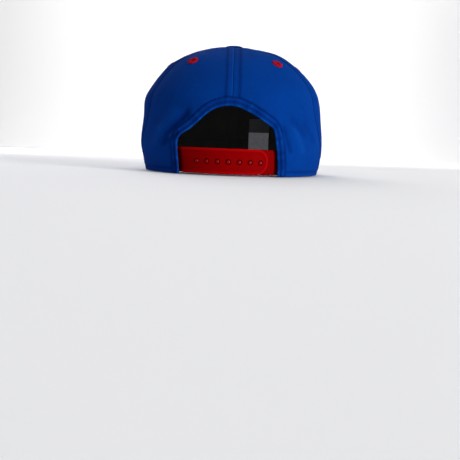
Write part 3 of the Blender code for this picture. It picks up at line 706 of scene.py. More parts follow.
def arch_line(side, offset, count):
    """Angles and levels along half of the arch, moved out into the cloth by an offset."""
    edge, outwards = arch_edge(side, count)
    moved = edge + outwards * offset
    return angle_at_arc(moved[:, 0]), level_at(np.maximum(moved[:, 1], 0.0))


def whole_arch(offset, count):
    """Angles and levels along the whole arch, from the left rim to the right one."""
    left, right = arch_line(1, offset, count), arch_line(-1, offset, count)
    return [np.concatenate((start, end[-2::-1])) for start, end in zip(left, right)]


def arch_top_level():
    return float(arch_line(1, BINDING_WIDTH, 40)[1][-1])


@functools.lru_cache(maxsize=None)
def arch_tree():
    """A search tree of points along the outer side of the bound edge, and their spacing."""
    left, right = (crown_surface(*arch_line(side, BINDING_WIDTH, 200)) for side, _ in SIDES)
    spots = np.concatenate((left, right[::-1]))
    tree = KDTree(len(spots))
    for number, spot in enumerate(spots):
        tree.insert(Vector(spot), number)
    tree.balance()
    return tree, lengths_along(spots)[-1] / len(spots)


def arch_relief(points):
    """The panel's dip where it meets the arch's bound edge, with puckers along it."""
    tree, spacing = arch_tree()
    shape = points.shape[:-1]
    away, along = np.empty(shape), np.empty(shape)
    for place in np.ndindex(shape):
        _, number, away[place] = tree.find(Vector(points[place]))
        along[place] = number * spacing
    pucker = lane_noise(along / PUCKER_PITCH, ARCH_LANE, seed=21)
    dip = -ARCH_DIP * bump(away, ARCH_DIP_WIDTH)
    return dip + 1.3 * PUCKER * pucker * bump(away, ARCH_PUCKER_WIDTH)


def closer_at_ends(count, pull=0.7):
    """Shares from 0 to 1 that stand closer together at both ends."""
    share = np.linspace(0.0, 1.0, count + 1)
    return share - pull * np.sin(2 * np.pi * share) / (2 * np.pi)


def add_object(name, data):
    thing = bpy.data.objects.new(name, data)
    bpy.context.scene.collection.objects.link(thing)
    return thing


def add_piece(name, points, faces, surface, node=None, uv=None, ramp_and_painted_light=None):
    """Make an object of the cap from points in the crown's frame, and tie it to the solids."""
    slot, material = surface
    mesh = bpy.data.meshes.new(name)
    points = np.asarray(points) + FRAME_SHIFT
    mesh.from_pydata(points.tolist(), [], [list(map(int, face)) for face in faces])
    # Painted light goes on the points as an attribute that the materials read
    if ramp_and_painted_light is not None:
        layer = mesh.attributes.new("ramp_and_painted_light", "FLOAT", "POINT")
        layer.data.foreach_set("value", np.asarray(ramp_and_painted_light, dtype=np.float32))
    if uv is not None:
        layer = mesh.uv_layers.new(name="cloth")
        corners = np.empty(len(mesh.loops), dtype=np.int32)
        mesh.loops.foreach_get("vertex_index", corners)
        layer.data.foreach_set("uv", np.asarray(uv, dtype=np.float32)[corners].ravel())
    shape = bmesh.new()
    shape.from_mesh(mesh)
    bmesh.ops.recalc_face_normals(shape, faces=shape.faces)
    shape.to_mesh(mesh)
    shape.free()
    mesh.shade_smooth()
    mesh.materials.append(material)
    piece = add_object(name, mesh)
    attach(piece, "root")
    if node:
        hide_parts(node)
    return piece


def cut_holes(piece, places, radius, depth, segments, rounding=0.0):
    """Cut round holes through a piece at places given as matrices, and round their rims."""
    shape = bmesh.new()
    for place in places:
        bmesh.ops.create_cone(
            shape,
            cap_ends=True,
            segments=segments,
            radius1=radius,
            radius2=radius,
            depth=depth,
            matrix=place,
        )
    mesh = bpy.data.meshes.new("hole_cutter")
    shape.to_mesh(mesh)
    shape.free()
    cutter = add_object("hole_cutter", mesh)
    boolean = piece.modifiers.new("Holes", "BOOLEAN")
    boolean.operation = "DIFFERENCE"
    boolean.solver = "EXACT"
    boolean.object = cutter
    if rounding:
        rim = piece.modifiers.new("Hole rims", "BEVEL")
        rim.width = rounding
        rim.segments = 3
        rim.limit_method = "ANGLE"
        rim.angle_limit = math.radians(60)
    graph = bpy.context.evaluated_depsgraph_get()
    made = bpy.data.meshes.new_from_object(piece.evaluated_get(graph))
    piece.modifiers.clear()
    piece.data = made
    made.shade_smooth()
    bpy.data.objects.remove(cutter, do_unlink=True)


def closed_sheet(outer, inner, bulge=0.0, uv=None, steps=3):
    """Points, faces and uvs of a closed body between two grids, with a half-round edge."""
    rows, columns = outer.shape[:2]
    count = rows * columns
    index = np.arange(count).reshape(rows, columns)
    quads = np.stack((index[:-1, :-1], index[:-1, 1:], index[1:, 1:], index[1:, :-1]), axis=-1)
    quads = quads.reshape(-1, 4)
    loop = np.concatenate((index[0, :-1], index[:-1, -1], index[-1, :0:-1], index[:0:-1, 0]))
    row, column = np.divmod(loop, columns)
    neighbour = np.clip(row, 1, rows - 2) * columns + np.clip(column, 1, columns - 2)
    top, bottom = outer.reshape(-1, 3), inner.reshape(-1, 3)
    along = unit(np.roll(top[loop], -1, axis=0) - np.roll(top[loop], 1, axis=0))
    away = top[loop] - top[neighbour]
    away = unit(away - np.sum(away * along, axis=-1, keepdims=True) * along)
    bulge = np.broadcast_to(bulge, (rows, columns)).reshape(-1)[loop]
    points, rings = [top, bottom], [loop]
    for step in range(1, steps + 1):
        turn = math.pi * step / (steps + 1)
        share = (1 - math.cos(turn)) / 2
        ring = top[loop] * (1 - share) + bottom[loop] * share + away * (bulge * math.sin(turn))[:, None]
        rings.append(2 * count + (step - 1) * len(loop) + np.arange(len(loop)))
        points.append(ring)
    rings.append(loop + count)
    faces = [quads, quads[:, ::-1] + count]
    for near, far in zip(rings, rings[1:]):
        faces.append(np.stack((np.roll(near, -1), near, far, np.roll(far, -1)), axis=-1))
    if uv is not None:
        flat = uv.reshape(-1, 2)
        uv = np.concatenate([flat, flat] + [flat[loop]] * steps)
    return np.concatenate(points), np.concatenate(faces), uv


def swept(rings):
    """Points and faces of a body through closed rings, with flat ends."""
    stations, around = rings.shape[:2]
    index = np.arange(stations * around).reshape(stations, around)
    ahead = np.roll(index, -1, axis=1)
    quads = np.stack((index[:-1], ahead[:-1], ahead[1:], index[1:]), axis=-1).reshape(-1, 4)
    faces = [list(face) for face in quads] + [list(index[0])[::-1], list(index[-1])]
    return rings.reshape(-1, 3), faces


def circle(radius, turns, height):
    return together(radius * np.cos(turns), radius * np.sin(turns), height)


def dome(radius, top, drop, start, count):
    """Radii and heights of a dome, from close to its middle out to its edge."""
    turns = np.linspace(start, math.pi / 2, count)
    return [(radius * math.sin(turn), top - drop * (1 - math.cos(turn))) for turn in turns]


def join_parts(parts):
    """One list of points and faces from several."""
    points, faces = [], []
    base = 0
    for part_points, part_faces in parts:
        points.append(part_points)
        faces += [[int(corner) + base for corner in face] for face in part_faces]
        base += len(part_points)
    return np.concatenate(points), faces


def stitch_row(line, outwards):
    """Points and faces of the stitches along a line that lies on the cloth."""
    lengths = lengths_along(line)
    count = int(lengths[-1] / STITCH_PITCH)
    rest = (lengths[-1] - count * STITCH_PITCH + STITCH_PITCH - STITCH_LENGTH) / 2
    turns = np.linspace(0, 2 * np.pi, 6, endpoint=False)
    share = np.linspace(0.0, 1.0, 6)
    arch = np.sin(np.pi * share)
    thick = THREAD_RADIUS * (0.55 + 0.45 * arch**0.5)[:, None, None]
    rise = (STITCH_LIFT - THREAD_RADIUS * 2.2 * (1 - arch**0.45))[:, None]
    wide = 1.15 * np.cos(turns)[None, :, None] * thick
    high = 0.85 * np.sin(turns)[None, :, None] * thick
    parts = []
    for number in range(count):
        at = rest + number * STITCH_PITCH + share * STITCH_LENGTH
        spots = read_along(at, lengths, line)
        normal = unit(read_along(at, lengths, outwards))
        across = np.cross(unit(np.gradient(spots, axis=0)), normal)
        centre = spots + normal * rise
        parts.append(swept(centre[:, None] + across[:, None] * wide + normal[:, None] * high))
    return join_parts(parts)


class Nodes:
    """A short way to wire up a material. Values may be numbers, colours or outputs of other nodes."""

    def __init__(self, name):
        self.material = bpy.data.materials.new(name)
        self.material.use_nodes = True
        self.tree = self.material.node_tree
        self.shader = self.tree.nodes["Principled BSDF"]

    def put(self, socket, value):
        if isinstance(value, bpy.types.NodeSocket):
            self.tree.links.new(value, socket)
        else:
            socket.default_value = value

    def set(self, **values):
        for key, value in values.items():
            self.put(self.shader.inputs[key.replace("_", " ")], value)

    def add(self, kind, output, inputs=(), **settings):
        """Add a node, fill its inputs and give back one of its outputs."""
        node = self.tree.nodes.new(kind)
        for key, value in settings.items():
            setattr(node, key, value)
        for key, value in inputs:
            self.put(node.inputs[key], value)
        return node.outputs[output]

    def math(self, operation, *values):
        return self.add("ShaderNodeMath", 0, enumerate(values), operation=operation)

    def scaled_sum(self, value, factor, rest=0.0):
        return self.math("MULTIPLY_ADD", value, factor, rest)

    def cloth_place(self):
        return self.add("ShaderNodeUVMap", "UV", uv_map="cloth")

    # The painted light of a piece: above nothing lightens its colour, below it darkens it
    def painted_light(self):
        return self.add("ShaderNodeAttribute", "Fac", attribute_name="ramp_and_painted_light")

    def noise(self, scale, detail=2.0, roughness=0.5):
        place = self.add("ShaderNodeTexCoord", "Object")
        inputs = (("Vector", place), ("Scale", scale), ("Detail", detail), ("Roughness", roughness))
        return self.add("ShaderNodeTexNoise", "Fac", inputs)

    def mix(self, share, first, second):
        """A colour between two: the first where the share is nothing."""
        inputs = (("Factor", share), ("A", first), ("B", second))
        return self.add("ShaderNodeMix", "Result", inputs, data_type="RGBA")

    def spread(self, value, low, high):
        """Stretch a value from 0 to 1 to a range."""
        inputs = (("Value", value), ("To Min", low), ("To Max", high))
        return self.add("ShaderNodeMapRange", "Result", inputs)

    def stripes(self, vector, angle, pitch):
        """Soft parallel ribs at an angle, from 0 to 1."""
        turn, rate = math.radians(angle), 2 * math.pi / pitch
        direction = (math.cos(turn) * rate, math.sin(turn) * rate, 0.0)
        inputs = ((0, vector), (1, direction))
        across = self.add("ShaderNodeVectorMath", "Value", inputs, operation="DOT_PRODUCT")
        return self.scaled_sum(self.math("SINE", across), 0.5, 0.5)

    def bump(self, height, distance, strength):
        inputs = (("Height", height), ("Distance", distance), ("Strength", strength))
        self.set(Normal=self.add("ShaderNodeBump", "Normal", inputs))


def woven_cloth(name, colour, deep, pale, painted_highlight, painted_shade, angle, pitch, depth, sheen, tint, roughness=0.85):
    """Cloth with diagonal ribs, yarn breaks, a mottled dye, a soft fuzz, and painted light from a point
    attribute.
    """
    nodes = Nodes(name)
    vector = nodes.cloth_place()
    wander = nodes.noise(260.0)
    slub = nodes.noise(1400.0, 2.0, 0.6)
    yarns = nodes.stripes(vector, angle + 72.0, pitch * 0.62)
    weave = nodes.scaled_sum(nodes.stripes(vector, angle, pitch), 0.7, nodes.math("MULTIPLY", yarns, 0.3))
    nodes.bump(nodes.scaled_sum(slub, 0.45, weave), depth, 0.8)
    tone = nodes.scaled_sum(nodes.noise(34.0, 3.0, 0.55), 0.55)
    tone = nodes.scaled_sum(wander, 0.30, tone)
    tone = nodes.scaled_sum(weave, 0.32, tone)
    base = nodes.mix(nodes.spread(tone, -0.35, 1.25), deep, colour)
    fleck = nodes.math("GREATER_THAN", slub, 0.66)
    base = nodes.mix(nodes.math("MULTIPLY", fleck, 0.35), base, pale)
    # A painted highlight where the attribute is above nothing, painted shade where it is below
    painted_light = nodes.painted_light()
    base = nodes.mix(nodes.math("MAXIMUM", painted_light, 0.0), base, painted_highlight)
    base = nodes.mix(nodes.math("MAXIMUM", nodes.math("MULTIPLY", painted_light, -1.0), 0.0), base, painted_shade)
    nodes.set(Base_Color=base, Roughness=nodes.spread(wander, roughness - 0.07, roughness + 0.07))
    nodes.set(Sheen_Weight=sheen, Sheen_Roughness=0.45, Sheen_Tint=tint, Specular_IOR_Level=0.01)
    return nodes.material


def thread(name, colour, deep, turns):
    """Twisted sewing thread."""
    nodes = Nodes(name)
    fibre = nodes.noise(2600.0, 2.0, 0.6)
    twist = nodes.stripes(nodes.add("ShaderNodeTexCoord", "Object"), 40.0, turns)
    nodes.bump(nodes.scaled_sum(twist, 0.5, fibre), 0.00008, 0.7)
    nodes.set(Base_Color=nodes.mix(nodes.spread(fibre, 0.0, 1.0), deep, colour))
    nodes.set(Roughness=0.66, Specular_IOR_Level=0.02)
    return nodes.material


def moulded_plastic(name, colour, deep, painted_edge_highlight, shine, roughness):
    """Satin moulded plastic with a faint grain, and a painted highlight where a point attribute says."""
    nodes = Nodes(name)
    flow = nodes.noise(90.0, 3.0)
    nodes.bump(nodes.scaled_sum(nodes.noise(1900.0), 0.25, flow), 0.00006, 0.6)
    nodes.set(Base_Color=nodes.mix(nodes.painted_light(), nodes.mix(flow, deep, colour), painted_edge_highlight))
    nodes.set(Roughness=nodes.spread(nodes.noise(420.0, 3.0), roughness - 0.06, roughness + 0.08))
    nodes.set(Specular_IOR_Level=shine)
    return nodes.material


def label_cloth(name, dark, grey, split):
    """Satin ribbon, dark above a height and grey below it."""
    nodes = Nodes(name)
    vector = nodes.cloth_place()
    height = nodes.scaled_sum(nodes.stripes(vector, 0.0, 0.0006), 0.4, nodes.stripes(vector, 90.0, 0.00045))
    nodes.bump(height, 0.00006, 0.6)
    above = nodes.math("GREATER_THAN", nodes.add("ShaderNodeSeparateXYZ", "Y", ((0, vector),)), split)
    shade = nodes.spread(nodes.noise(300.0), 0.0, 0.5)
    nodes.set(Base_Color=nodes.mix(shade, nodes.mix(above, grey, dark), dark))
    nodes.set(Roughness=0.5, Sheen_Weight=0.1, Specular_IOR_Level=0.4)
    return nodes.material


TWILL_CLOTH = woven_cloth(
    "blue_twill_cloth",
    colour=(0.0006, 0.036, 0.232, 1.0),
    deep=(0.0004, 0.022, 0.158, 1.0),
    pale=(0.0016, 0.058, 0.300, 1.0),
    painted_highlight=(0.0060, 0.110, 0.480, 1.0),
    painted_shade=(0.0004, 0.007, 0.085, 1.0),
    angle=28.0,
    pitch=0.00078,
    depth=0.00022,
    sheen=0.03,
    tint=(0.05, 0.35, 1.0, 1.0),
)
LINING_CLOTH = woven_cloth(
    "black_lining_cloth",
    colour=(0.026, 0.026, 0.023, 1.0),
    deep=(0.014, 0.014, 0.013, 1.0),
    pale=(0.060, 0.060, 0.056, 1.0),
    painted_highlight=(0.060, 0.060, 0.056, 1.0),
    painted_shade=(0.010, 0.010, 0.009, 1.0),
    angle=45.0,
    pitch=0.0009,
    depth=0.00020,
    sheen=0.04,
    tint=(0.5, 0.5, 0.5, 1.0),
    roughness=0.93,
)
BLUE_YARN = thread("blue_thread", (0.0006, 0.030, 0.205, 1.0), (0.0004, 0.016, 0.125, 1.0), 0.0005)
RED_YARN = thread("red_eyelet_thread", (0.38, 0.004, 0.014, 1.0), (0.20, 0.001, 0.008, 1.0), 0.0004)
# The strap's red; a darker red that is both its mottle and the inner strap's painted shade; the inner
# strap's mottle; the red of the painted highlight along the edges
RED, MOTTLE_AND_SHADED_RED, SHADED_MOTTLE_RED, EDGE_HIGHLIGHT_RED = (
    (0.225, 0.0003, 0.0008, 1.0),
    (0.175, 0.0002, 0.0006, 1.0),
    (0.14, 0.0002, 0.0006, 1.0),
    (0.42, 0.0010, 0.0024, 1.0),
)
STRAP_PLASTIC = moulded_plastic("red_strap_plastic", RED, MOTTLE_AND_SHADED_RED, EDGE_HIGHLIGHT_RED, 0.004, 0.50)
# The inner strap is the same plastic in a darker red: painted shade
SHADED_UNDER_PLASTIC = moulded_plastic("red_under_plastic_painted_shade", MOTTLE_AND_SHADED_RED, SHADED_MOTTLE_RED, EDGE_HIGHLIGHT_RED, 0.004, 0.50)
STUD_PLASTIC = moulded_plastic("red_stud_plastic", RED, MOTTLE_AND_SHADED_RED, EDGE_HIGHLIGHT_RED, 0.10, 0.30)
LABEL_SPLIT = LABEL_GREY_SHARE * (LABEL_TOP - LABEL_BOTTOM)
RIBBON = label_cloth("label_ribbon", (0.030, 0.030, 0.031, 1.0), (0.46, 0.46, 0.48, 1.0), LABEL_SPLIT)

# Each surface: the slot that the record names, and the material
TWILL = ("blue_twill", TWILL_CLOTH)
BLUE_THREAD = ("blue_twill", BLUE_YARN)
RED_THREAD = ("red_thread", RED_YARN)
STRAP_RED = ("red_plastic", STRAP_PLASTIC)
SHADED_UNDER_RED = ("red_plastic", SHADED_UNDER_PLASTIC)
STUD_RED = ("red_plastic", STUD_PLASTIC)
BLACK_CLOTH = ("black_cloth", LINING_CLOTH)
LABEL = ("grey_label", RIBBON)


def panel_grid(side, seam, rows=124, columns=88):
    """Angles and levels of a side or front panel."""
    shares = closer_at_ends(columns)
    feet = seam_angles(0.0)
    foot = feet[seam] + (feet[seam + 1] - feet[seam]) * shares
    bottom = level_at(rim_height(foot) + PANEL_THICKNESS / 2)
    climb = np.linspace(0.0, 1.0, rows + 1)[:, None]
    climb = climb * 0.58 + climb**2 * 0.42
    level = bottom + (CROWN_TOP_LEVEL - bottom) * climb
    seams = seam_angles(level)
    gap = SEAM_GAP / metres_per_degree(side * (seams[seam] + seams[seam + 1]) / 2, level)
    start, end = seams[seam] + gap, seams[seam + 1] - gap
    return side * (start + (end - start) * shares), level


def back_panel_grid(side, arch_rows=96, seam_rows=58, columns=92):
    """Angles and levels of a back panel, fanned out from the arch and the centre seam."""
    angle, level = arch_line(side, BINDING_WIDTH + 0.0001, arch_rows)
    low = float(level_at(PANEL_THICKNESS / 2))
    level = np.maximum(level, low)
    arch_top = level[-1]
    gap = SEAM_GAP / metres_per_degree(0.0, arch_top)
    angle = np.where(np.abs(angle) < gap, side * gap, angle)
    above = arch_top + (CROWN_TOP_LEVEL - arch_top) * np.linspace(0.0, 1.0, seam_rows + 1)[1:]
    edge_angle = np.concatenate((angle, side * SEAM_GAP / metres_per_degree(0.0, above)))[:, None]
    edge_level = np.concatenate((level, above))[:, None]
    outer = np.concatenate((np.linspace(low, arch_top, arch_rows + 1), above))[:, None]
    shares = closer_at_ends(columns)
    grid_level = edge_level + (outer - edge_level) * smoothstep(shares)
    seams = seam_angles(grid_level)
    outer_angle = side * (seams[1] - SEAM_GAP / metres_per_degree(side * seams[1], grid_level))
    return edge_angle + (outer_angle - edge_angle) * shares, grid_level


def eyelet_place(side, eyelet):
    """The turn and the spot of an eyelet in its panel."""
    middle = side * eyelet.angle + eyelet.shift
    lift = soft_relief(middle, eyelet.level)
    return standing(middle, eyelet.level), over_crown(middle, eyelet.level, lift)


def make_panels():
    for side, side_name in SIDES:
        for seam, eyelet in enumerate(EYELETS):
            at_back = eyelet.place == "back"
            angle, level = back_panel_grid(side) if at_back else panel_grid(side, seam)
            edge = arch_relief(crown_surface(angle, level)) if at_back else np.zeros(angle.shape)
            # Painted light for the panel, with painted shade where it dips at the bound edge
            painted_light = painted_cloth_light(angle, level) + ROW_PAINTED_SHADE * np.minimum(edge, 0.0) / STITCH_DIP
            inner = over_crown(angle, level, soft_relief(angle, level) - PANEL_THICKNESS)
            bulge = np.zeros(angle.shape)
            bulge[0] = PANEL_THICKNESS / 2
            turned = (np.abs(angle) - eyelet.angle) * metres_per_degree(angle, level) * np.sign(angle)
            uv = together(turned, meridian(level))
            points, faces, uv = closed_sheet(crown_outer(angle, level, edge), inner, bulge, uv)
            ramp_and_painted_light = np.zeros(len(points))
            ramp_and_painted_light[: angle.size] = painted_light.ravel()
            name = f"{eyelet.place}_{side_name}"
            piece = add_piece(f"cloth_{name}", points, faces, TWILL, f"panel_{name}", uv, ramp_and_painted_light)
            turn, spot = eyelet_place(side, eyelet)
            place = turn.to_4x4()
            place.translation = spot + FRAME_SHIFT
            cut_holes(piece, [place], EYELET_BARREL_RADIUS, EYELET_BORE, 24)


def binding_inset(offset):
    """How deep the bound edge's outer face lies, a puffy band between its stitch rows."""
    puff = np.sin(np.pi * np.clip((offset - 0.0004) / (BINDING_WIDTH - 0.0006), 0, 1)) ** 0.7
    rows = bump(offset - EDGE_ROW, BINDING_DIP_WIDTH) + bump(offset - BINDING_WIDTH, BINDING_DIP_WIDTH)
    return BINDING_DIP * rows - BINDING_PROUD * puff


def seam_block(angle, level):
    """The raised place where the bound edge folds over the middle seam."""
    across = angle * metres_per_degree(0.0, level)
    share = smoothstep((STITCH_ROW + SEAM_BLOCK_EDGE - np.abs(across)) / (2 * SEAM_BLOCK_EDGE))
    raised = (SEAM_BLOCK + np.sign(across) * MIDDLE_STEP) * share
    return raised - 0.5 * MIDDLE_FALL * bump(across, MIDDLE_FALL_WIDTH)


def edge_flare(offset, height, side):
    """The bound edge stands off the strap on the left and is drawn in on the right."""
    towards_edge = np.clip(1 - offset / BINDING_WIDTH, 0.0, 1.0) ** 1.2
    leg = smoothstep((0.75 * ARCH_HEIGHT - height) / (0.35 * ARCH_HEIGHT))
    return np.where(side > 0, EDGE_FLARE, -EDGE_TUCK) * towards_edge * leg


def make_binding():
    """The folded edge: one closed profile of offsets and insets, carried along the arch."""
    half = BINDING_HALF
    edge = float(binding_inset(half))
    profile = [(BINDING_WIDTH, 2 * half)]
    profile += [(offset, float(binding_inset(offset))) for offset in np.linspace(BINDING_WIDTH, half, 22)]
    for turn in np.linspace(0, math.pi, 9)[1:-1]:
        depth = edge * (1 + math.cos(turn)) / 2 + half * (1 - math.cos(turn))
        profile.append((half - half * math.sin(turn), depth))
    profile += [(offset, 2 * half) for offset in np.linspace(half, BINDING_WIDTH, 5)[:-1]]
    rings, ramp_and_painted_light = [], []
    for offset, inset in profile:
        angle, level = whole_arch(offset, 120)
        along = np.linspace(0.0, ARCH_RUN, len(angle))
        lane = along / PUCKER_PITCH
        outside = inset < half
        relief = soft_relief(angle, level) - inset + edge_flare(offset, height_at(level), angle)
        puckers = 1.1 * PUCKER * lane_noise(lane, ARCH_LANE, seed=21)
        rings.append(over_crown(angle, level, relief + (puckers + seam_block(angle, level)) * outside))
        # Painted light along the bound edge, random patches, and painted shade over the whole of it
        painted_light = sum(mark.share * bump(offset - mark.offset, mark.width) for mark in BINDING_PAINTED_LIGHT)
        finer = lane * BINDING_PATCHES_FINER, ARCH_LANE * BINDING_PATCHES_FINER
        patches = BINDING_PATCHES * lane_noise(*finer, seed=23) - BINDING_PAINTED_SHADE
        ramp_and_painted_light.append((painted_light + patches) * outside)
    points, faces = swept(np.stack(rings, axis=1))
    offsets = np.array([offset for offset, _ in profile])
    uv = together(along[:, None], offsets).reshape(-1, 2)
    add_piece("bound_edge", points, faces, TWILL, "arch_binding", uv, np.stack(ramp_and_painted_light, axis=1).ravel())


def make_stitches():
    starts = (arch_top_level() + STITCH_ABOVE_ARCH, *STITCH_START_LEVELS)
    parts = []
    for (side, _), seam, towards in itertools.product(SIDES, range(4), (1, -1)):
        if (seam, towards) in ((0, -1), (3, 1)):
            continue
        level = np.linspace(starts[seam], STITCH_TOP_LEVEL, 260)
        seam_angle = seam_angles(level)[seam]
        shift = stitch_offset(side * seam_angle, level) / seam_scale(side * seam_angle, level)[seam]
        angle = side * (seam_angle + towards * shift)
        parts.append(stitch_row(crown_outer(angle, level), crown_normal(angle, level)))
    add_piece("seam_stitches", *join_parts(parts), BLUE_THREAD)

    parts = []
    for offset, inset in ((BINDING_WIDTH, JOIN_ROW_INSET), (EDGE_ROW, float(binding_inset(EDGE_ROW)))):
        angle, level = whole_arch(offset, 200)
        line = over_crown(angle, level, soft_relief(angle, level) - inset)
        parts.append(stitch_row(line, crown_normal(angle, level)))
    add_piece("arch_stitches", *join_parts(parts), BLUE_THREAD)

    start, end = (float(arch_line(side, BINDING_WIDTH + 0.001, 40)[0][0]) for side, _ in SIDES)
    turn = np.linspace(start, end + 360.0, 900)
    angle = np.where(turn > 180.0, turn - 360.0, turn)
    level = level_at(rim_height(angle) + RIM_ROW)
    row = stitch_row(crown_outer(angle, level), crown_normal(angle, level))
    add_piece("rim_stitches", *row, BLUE_THREAD)


def make_eyelets():
    """Rings of wound thread round a small hole: radii, heights and how far the thread's ribs show."""
    turns = np.linspace(0, 2 * np.pi, EYELET_THREADS * 5, endpoint=False)
    profile = []
    for share in np.linspace(0.0, 1.0, 13):
        swell = math.sin(math.pi * (0.12 + 0.80 * share)) ** 0.55
        radius = EYELET_HOLE_RADIUS + (EYELET_RADIUS - EYELET_HOLE_RADIUS) * share
        profile.append((radius, EYELET_RELIEF * swell, 1.0))
    low = -PANEL_THICKNESS - EYELET_PAST_CLOTH
    profile += [
        (EYELET_RADIUS * 1.01, -EYELET_SKIRT / 2, 0.4),
        (EYELET_RADIUS * 0.95, -EYELET_SKIRT, 0.0),
        (EYELET_BARREL_RADIUS, -EYELET_SKIRT, 0.0),
        (EYELET_BARREL_RADIUS, low, 0.0),
        (EYELET_HOLE_RADIUS, low, 0.0),
        (EYELET_HOLE_RADIUS, 0.0, 0.2),
    ]
    ridge = np.abs(np.cos(turns * EYELET_THREADS / 2)) ** 0.7
    index = np.arange(len(turns) * len(profile)).reshape(len(turns), len(profile))
    ahead = np.roll(index, -1, axis=0)
    faces = np.stack((index, ahead, np.roll(ahead, -1, axis=1), np.roll(index, -1, axis=1)), axis=-1)
    for side, side_name in SIDES:
        for number, eyelet in enumerate(EYELETS):
            seed = 31 + number * 2 + (side > 0)
            uneven = lane_noise(turns * EYELET_THREADS / (2 * np.pi), 0.0, seed)
            relief = EYELET_RIB * (ridge - 0.6) + EYELET_UNEVEN * uneven
            rings = [
                circle(radius + share * EYELET_WAVER * uneven, turns, height + share * relief)
                for radius, height, share in profile
            ]
            turn, spot = eyelet_place(side, eyelet)
            points = np.stack(rings, axis=1).reshape(-1, 3) @ np.array(turn).T + spot
            name = f"{eyelet.place}_{side_name}"
            add_piece(f"sewn_eyelet_{name}", points, faces.reshape(-1, 4), RED_THREAD, f"eyelet_{name}")


def make_button():
    """A cloth-covered button, gathered a little towards its edge."""
    turns = np.linspace(0, 2 * np.pi, 96, endpoint=False)
    gather = lane_noise(np.cos(turns) * 3.0, np.sin(turns) * 3.0, seed=61)
    profile = dome(BUTTON_RADIUS, BUTTON_HEIGHT, BUTTON_HEIGHT - BUTTON_EDGE, 0.04, 16)
    profile += [
        (BUTTON_RADIUS * 0.985, 0.0007),
        (BUTTON_RADIUS * 0.94, BUTTON_UNDER),
        (BUTTON_RADIUS * 0.5, BUTTON_UNDER),
        (BUTTON_SHANK_RADIUS, 0.0002),
        (BUTTON_SHANK_RADIUS, -PANEL_THICKNESS),
    ]
    rings = []
    for radius, height in profile:
        gathered = (radius / BUTTON_RADIUS) ** 3 * gather
        height = CROWN_HEIGHT + PIECE_GAP + height + BUTTON_GATHER * gathered
        rings.append(circle(radius * (1 + BUTTON_WAVER * gathered), turns, height))
    points, faces = swept(np.stack(rings))
    add_piece("covered_button", points, faces, TWILL, "top_button", points[:, :2])


def strap_tip_arc():
    return STRAP_TIP_SETBACK - half_opening_arc()


def stud_arc(index):
    return strap_tip_arc() + STUD_FROM_TIP + index * STUD_PITCH


def bend_strap(points, inset):
    """Flat strap points, as arc, height and depth, laid round the back of the crown."""
    angle = angle_at_arc(points[:, 0])
    return band_point(angle, STRAP_MIDDLE + points[:, 1], inset(points[:, 0]) - points[:, 2])


def flat_strap(stations, border):
    """A flat closed strap from stations of arc and half height share, with a raised border.

    The last value is how near each point is to the edge, for a painted highlight along it."""
    arcs, shares = np.array(stations).T
    half = ((STRAP_HEIGHT + STRAP_LIFT) / 2 - STRAP_ROUNDING) * shares
    across = np.sin(np.linspace(-math.pi / 2, math.pi / 2, 37))[:, None]
    flat = together(arcs, across * half)
    outline = np.concatenate([together(arcs, edge) for edge in (half, -half)])
    away = np.stack([distance_to(outline, row) for row in flat])
    raised = border * smoothstep(1 - (away - STRAP_BORDER_WIDTH) / STRAP_BORDER_SLOPE)
    outer = together(flat[..., 0], flat[..., 1] + STRAP_LIFT / 2, raised)
    inner = outer.copy()
    inner[..., 2] = -STRAP_THICKNESS
    painted_light = np.repeat(bump(away, STRAP_BORDER_WIDTH)[..., None], 2, axis=-1)
    points, faces, painted_light = closed_sheet(outer, inner, STRAP_ROUNDING, painted_light)
    return points, faces, painted_light[:, 0]


def outer_inset(arc):
    """How deep the outer strap lies: deeper where it passes behind the bound edge."""
    return STRAP_INSET + STRAP_DIP * bump(arc - STRAP_DIP_PLACE, STRAP_DIP_WIDTH)


def under_inset(arc):
    """How deep the inner strap lies: it steps out to the outer one's level behind the bound edge."""
    share = smoothstep((-STRAP_STEP_START - arc) / STRAP_STEP)
    dip = UNDER_DIP * bump(arc + UNDER_DIP_PLACE, UNDER_DIP_WIDTH)
    return UNDER_STRAP_INSET + (STRAP_INSET - UNDER_STRAP_INSET) * share + dip


def make_snap_strap():
    """The outer strap: a round tip, and a rounded hole for each stud."""
    straight_end = strap_tip_arc() + STRAP_TIP_LENGTH
    tip_length = STRAP_TIP_LENGTH - 0.6 * STRAP_ROUNDING
    stations = [(arc, 1.0) for arc in np.linspace(half_opening_arc() + STRAP_TUCK, straight_end, 130)]
    for turn in np.linspace(0.0, math.pi / 2, 26)[1:]:
        stations.append((straight_end - tip_length * math.sin(turn), max(math.cos(turn), 0.03) ** 0.9))
    points, faces, painted_light = flat_strap(stations, STRAP_BORDER)
    # A painted highlight along the strap's edges and round its tip
    piece = add_piece("holed_strap", points, faces, STRAP_RED, "snap_strap", ramp_and_painted_light=STRAP_EDGE_HIGHLIGHT * painted_light)
    places = [Matrix.Translation((stud_arc(index), FRAME_Y, 0.0)) for index in range(STUD_COUNT)]
    cut_holes(piece, places, STUD_HOLE_RADIUS, 6 * STRAP_THICKNESS, 32, STUD_HOLE_ROUNDING)
    flat = np.array([tuple(vertex.co) for vertex in piece.data.vertices]) - FRAME_SHIFT
    bent = bend_strap(flat, outer_inset) + FRAME_SHIFT
    piece.data.vertices.foreach_set("co", bent.ravel())
    piece.data.update()


